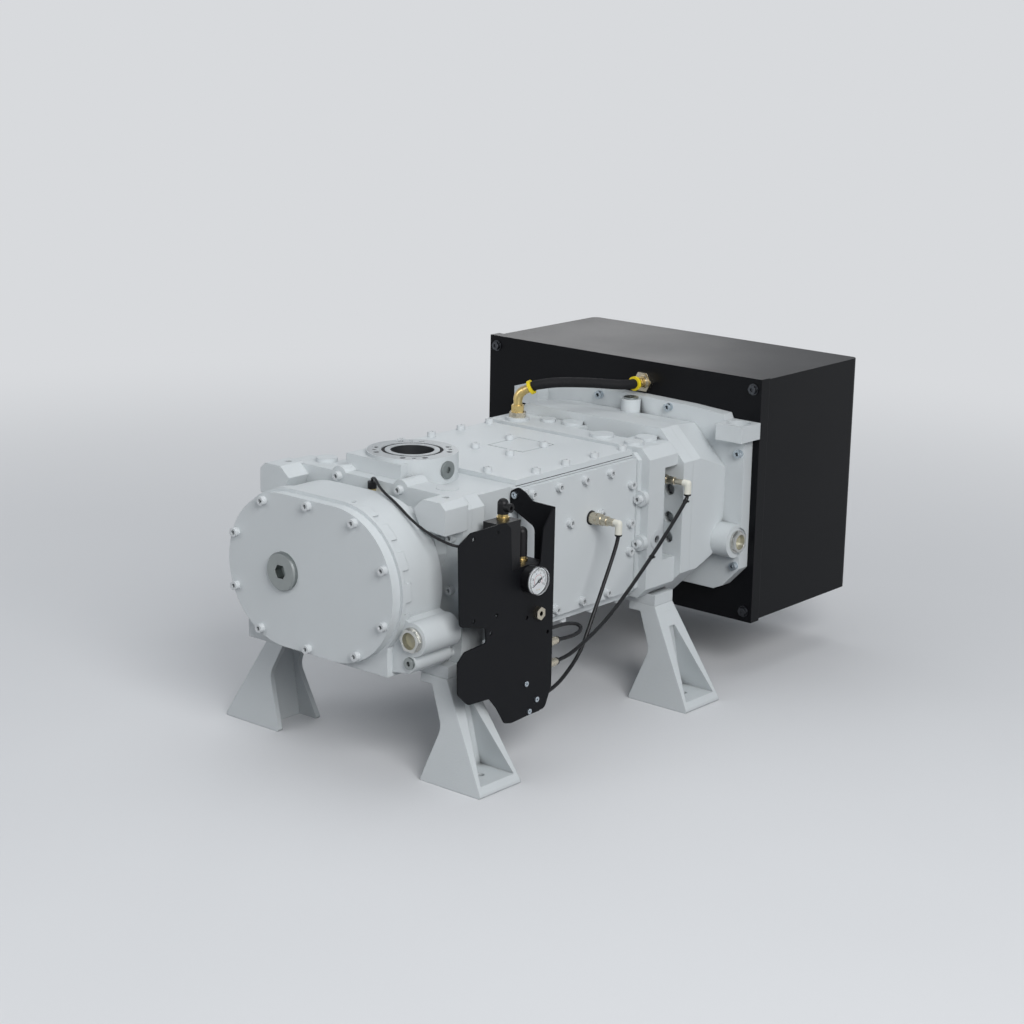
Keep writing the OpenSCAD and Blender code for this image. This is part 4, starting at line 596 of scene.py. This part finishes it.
# %% [markdown]
# ## Black sheet and plastic
# The motor box and the gas panel are folded sheet with a fine black powder coat: almost black, with a
# sandy grain that spreads the light, so that a lit face reads dark grey.

# %% Powder coat


def powder_coat(name, colour, grain_depth, rough):
    """Black powder coat: two fine noises make the grain, a wide one moves the gloss."""
    powder = Finish(name, Specular_IOR_Level=0.12)
    wide, grain = powder.noise(6, 3), powder.noise(1500, 2)
    powder.set("Base Color", powder.blend(grain, tinted(colour, 0.75), tinted(colour, 1.35)))
    powder.set("Roughness", rough + 0.10 * wide)
    return powder.relief(grain + 0.5 * powder.noise(700, 2), grain_depth, 0.0008)


box_black = powder_coat("box_black", srgb(14, 15, 18), 0.00006, 0.32)
panel_black = powder_coat("panel_black", srgb(18, 19, 22), 0.00006, 0.42)
dress(box_black, "box_front_panel", "box_hood")
dress(panel_black, "gas_panel")
print("solids dressed so far:", len(dressed))

# %% Moulded plastic and rubber


def moulded(name, colour, rough, depth=0.00003):
    """Moulded plastic or rubber: a faint skin of noise, slightly uneven gloss."""
    skin = Finish(name, Specular_IOR_Level=0.3)
    wide = skin.noise(35, 3)
    skin.set("Base Color", skin.blend(wide, tinted(colour, 0.85), tinted(colour, 1.12)))
    skin.set("Roughness", rough + 0.12 * wide)
    return skin.relief(skin.noise(1800, 2), depth, 0.0004)


black_plastic = moulded("black_plastic", srgb(20, 20, 22), 0.36)
gasket_black = moulded("gasket_black", srgb(30, 30, 32), 0.62)
yellow_plastic = moulded("yellow_plastic", srgb(238, 212, 40), 0.36)
cream_plastic = moulded("cream_plastic", srgb(224, 223, 212), 0.30)
dress(black_plastic, "gas_valve_block", "gauge_pointer", "panel_elbows", "sensor_cap")
dress(gasket_black, "jacket_gaskets", "inlet_o_ring", "shaft_seals")
dress(yellow_plastic, "hose_collars")
dress(cream_plastic, "purge_elbows")
print("solids dressed so far:", len(dressed))

# %% [markdown]
# ## Metals
# Brass ends, nickel-plated nuts and valves, zinc-plated screws and ground steel differ in colour and in how
# they were cut. A metal has no paint of its own, so its roughness and fine tool marks carry the look.

# %% Bare and plated metals


def metal(name, colour, rough, mark_scale=900, mark_depth=0.00002, stretch=(1, 1, 1)):
    """Metal: stretched noise is the tool marks, wide noise is the handling haze on the gloss."""
    plate = Finish(name, Metallic=1.0)
    spot = plate.node("ShaderNodeMapping", None, {"Vector": plate.place, "Scale": stretch})
    marks, haze = plate.noise(mark_scale, 2, spot), plate.noise(70, 3)
    shade = plate.blend(haze, tinted(colour, 0.82), colour)
    # Painted shade: the inside of sockets and holes darkens almost to black.
    plate.set("Base Color", plate.blend(plate.hollow(0.008), shade, tinted(colour, 0.12)))
    plate.set("Roughness", rough + 0.16 * haze + 0.06 * marks)
    return plate.relief(marks, mark_depth, 0.0004)


brass = metal("brass_turned", srgb(222, 196, 134), 0.18)
nickel = metal("nickel_plate", srgb(208, 200, 182), 0.16)
zinc = metal("zinc_plate", srgb(158, 163, 162), 0.26)
zinc_bright = metal("zinc_bright", srgb(204, 213, 220), 0.16)
black_oxide = metal("black_oxide", srgb(84, 86, 90), 0.22)
steel = metal("ground_steel", srgb(176, 178, 180), 0.24, 500, 0.00002, (1, 0.1, 1))
bright_ring = metal("bright_ring", srgb(206, 206, 202), 0.10)
stack = metal("motor_stack", srgb(120, 122, 126), 0.42, 700, 0.0001, (0.2, 8, 0.2))
dress(brass, "hose_fittings", "panel_elbow_rings", "temperature_sensor")
dress(nickel, "hose_nuts", "panel_bulkhead", "purge_valves", "panel_push_fittings")
dress(zinc, "front_shaft_plug", "socket_plugs")
dress(zinc_bright, "zinc_screws")
dress(black_oxide, "box_screws")
dress(steel, "motor_rotor", "drive_rotor", "driven_rotor", "drive_rotor_shaft", "driven_rotor_shaft",
      "drive_timing_gear", "driven_timing_gear", "shaft_bearings")
dress(bright_ring, "sight_glass_rings")
dress(stack, "motor_stator")
print("solids dressed so far:", len(dressed))

# %% [markdown]
# ## Glass and print
# The gauge's cap is clear plastic, and the sight glasses stand before pale oil, so they are half clear and
# straw-coloured. Print on the dial is a thin skin of ink, so it needs no more than a flat dark or red finish.

# %% Clear pieces, dial and ink
clear_glass = Finish("clear_glass", Transmission_Weight=1.0, IOR=1.46, Base_Color=(0.98, 0.99, 1.0))
clear_glass.set("Roughness", 0.01 + 0.02 * clear_glass.noise(90, 2))
amber_glass = Finish("sight_glass", Transmission_Weight=0.6, IOR=1.46)
oil_cloud = amber_glass.noise(140, 2)
amber_glass.set("Base Color", amber_glass.blend(oil_cloud, (0.80, 0.74, 0.48), (0.90, 0.88, 0.74)))
amber_glass.set("Roughness", 0.05 + 0.05 * amber_glass.noise(60, 2))
dial_white = moulded("dial_white", srgb(238, 239, 238), 0.45, 0.00001)
ink_black = moulded("ink_black", srgb(26, 26, 28), 0.5, 0.00001)
ink_red = moulded("ink_red", srgb(196, 62, 66), 0.5, 0.00001)
dress(amber_glass, "sight_glasses")
print("solids with no finish yet:", sorted(set(solids) - dressed))

# %% [markdown]
# ## Hose rubber and tube plastic
# A water hose is wrapped in cloth while its rubber cures, and the cloth leaves a faint slanting mark. The mark
# follows the hose, so it reads the hose's own UV map. The thin tubes are drawn smooth, with only a little haze.

# %% Rubber with a cloth mark
hose_rubber = Finish("hose_rubber", Specular_IOR_Level=0.2)
along_hose = hose_rubber.node("ShaderNodeMapping", None, {
    "Vector": hose_rubber.node("ShaderNodeUVMap", {"uv_map": "UVMap"}), "Scale": (6, 60, 1)})
cloth_mark = hose_rubber.node("ShaderNodeTexWave", {"wave_type": "BANDS", "bands_direction": "DIAGONAL"},
                              {"Vector": along_hose, "Scale": 1.0, "Distortion": 0.4}, 1)
rubber_cloud = hose_rubber.noise(300, 3)
hose_rubber.set("Base Color", hose_rubber.blend(rubber_cloud, srgb(18, 18, 20), srgb(34, 34, 36)))
hose_rubber.set("Roughness", 0.55 + 0.15 * hose_rubber.noise(120, 2))
hose_rubber.relief(cloth_mark + hose_rubber.noise(900, 2), 0.00018)

# %% Tube plastic
tube_plastic = Finish("tube_plastic", Specular_IOR_Level=0.3)
tube_cloud = tube_plastic.noise(50, 2)
tube_plastic.set("Base Color", tube_plastic.blend(tube_cloud, srgb(16, 16, 18), srgb(30, 30, 33)))
tube_plastic.set("Roughness", 0.28 + 0.1 * tube_plastic.noise(200, 2))
tube_plastic.relief(tube_plastic.noise(1500, 2), 0.00002)

# %% Finish of each new piece


def coat(piece, finish):
    """Gives a new piece its finish."""
    piece.data.materials.clear()
    piece.data.materials.append(finish.material)


new_pieces = [(water_hose, hose_rubber, "hose"), (valve_seals, gasket_black, "gasket"),
              (gauge_dial, dial_white, "dial"), (gauge_cap, clear_glass, "lens"),
              (dial_scale, ink_black, "black_paint"), (dial_red, ink_red, "dial"), (rivets, brass, "brass")]
new_pieces += [(piece, tube_plastic, "hose") for piece in thin_cords]
new_pieces += [(piece, black_plastic, "black_plastic") for piece in (gauge_case, tube_collars, tube_ties)]
for piece, finish, slot in new_pieces:
    coat(piece, finish)
print("new pieces:", len(new_pieces))

# %% [markdown]
# ## Lamps
# Product light is broad and soft: one large lamp above, a strong one from the right of the camera, a weak one
# from the left, and a small one from behind that draws the far edges. Their sizes, not their strengths, make
# the shadows soft.

# %% Lamps


def lamp(name, place, target, size, power):
    """A square lamp at a place in metres, turned to the target, unseen by the camera."""
    data = bpy.data.lights.new(name, "AREA")
    data.size, data.energy = size, power
    item = bpy.data.objects.new(name, data)
    item.location = place
    item.rotation_euler = (Vector(target) - Vector(place)).to_track_quat("-Z", "Y").to_euler()
    item.visible_camera = False
    bpy.context.collection.objects.link(item)


pump_middle = (0.0, 0.1, 0.25)
lamp("lamp_above", (-0.3, 0.5, 3.2), pump_middle, 3.0, 27)
lamp("lamp_right", (3.9, -2.2, 3.0), pump_middle, 2.6, 186)
lamp("lamp_front", (-1.6, -3.2, 1.6), pump_middle, 2.0, 20)
lamp("lamp_back", (-2.6, 3.5, 1.6), pump_middle, 1.0, 6)
print("lamps, W:", {light.name: light.energy for light in bpy.data.lights})

# %% [markdown]
# ## Floor and background
# The floor takes the pump's shadow near it, and runs out to the horizon's own pale grey, so no line shows
# behind. Only rays that are seen, in the camera, in a gloss or through glass, meet that paleness. What bounces
# on the pump from floor and sky stays low, so its shaded sides keep their depth.

# %% Floor
horizon = srgb(216, 218, 221)
floor_reach = 30
floor_axis = np.linspace(-floor_reach, floor_reach, 3)
across, along = np.meshgrid(floor_axis, floor_axis[::-1], indexing="ij")
floor = grid_piece("floor", np.stack([across, along, np.zeros_like(across)], -1))
floor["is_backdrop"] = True
pale = Finish("floor_pale", Specular_IOR_Level=0.2)
pale.set("Base Color", pale.blend(pale.noise(2, 2), srgb(222, 223, 225), srgb(226, 227, 229)))
pale.set("Roughness", 0.8)
x, y, z = pale.coordinates()
far_away = ((x * x + y * y) ** 0.5).between(0.7, 3.0)
glow = pale.node("ShaderNodeEmission", None, {"Color": horizon, "Strength": 1.0})
dull = pale.node("ShaderNodeBsdfDiffuse", None, {"Color": (0.30, 0.30, 0.31)})
near = Signal(pale, pale.shader.outputs[0])
look = pale.node("ShaderNodeMixShader", None, {0: far_away, 1: near, 2: glow})
pale.join(pale.tree.nodes["Material Output"].inputs["Surface"],
          pale.node("ShaderNodeMixShader", None, {0: pale.seen(), 1: dull, 2: look}))
floor.data.materials.append(pale.material)
print("floor, m:", 2 * floor_reach)

# %% World
world = bpy.data.worlds.new("pale_world")
bpy.context.scene.world = world
world.use_nodes = True
sky = Network(world.node_tree)
height = sky.node("ShaderNodeSeparateXYZ", None, {0: sky.node("ShaderNodeTexCoord", out="Generated")}, "Z")
shown = sky.node("ShaderNodeBackground", None, {
    "Color": sky.blend(height.between(0.05, 0.8), horizon, srgb(150, 155, 162)), "Strength": 1.0})
fill = sky.node("ShaderNodeBackground", None, {"Color": (0.80, 0.87, 0.95), "Strength": 0.27})
sky.join(world.node_tree.nodes["World Output"].inputs["Surface"],
         sky.node("ShaderNodeMixShader", None, {0: sky.seen(), 1: fill, 2: shown}))
bpy.context.scene.view_settings.view_transform = "Standard"
print("view:", bpy.context.scene.view_settings.view_transform)

# %% [markdown]
# The dressed pump should be exactly as large as the plain solids. Both boxes are measured, and the numbers
# printed here are how far the finished pieces stick out past the solids on each side.

# %% Sizes out
bpy.context.view_layer.update()
shown_low, shown_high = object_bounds()
grown = [*(np.array(solid_low) - shown_low), *(np.array(shown_high) - solid_high)]
print("grown by, mm:", [round(float(g) / MM, 2) for g in grown])
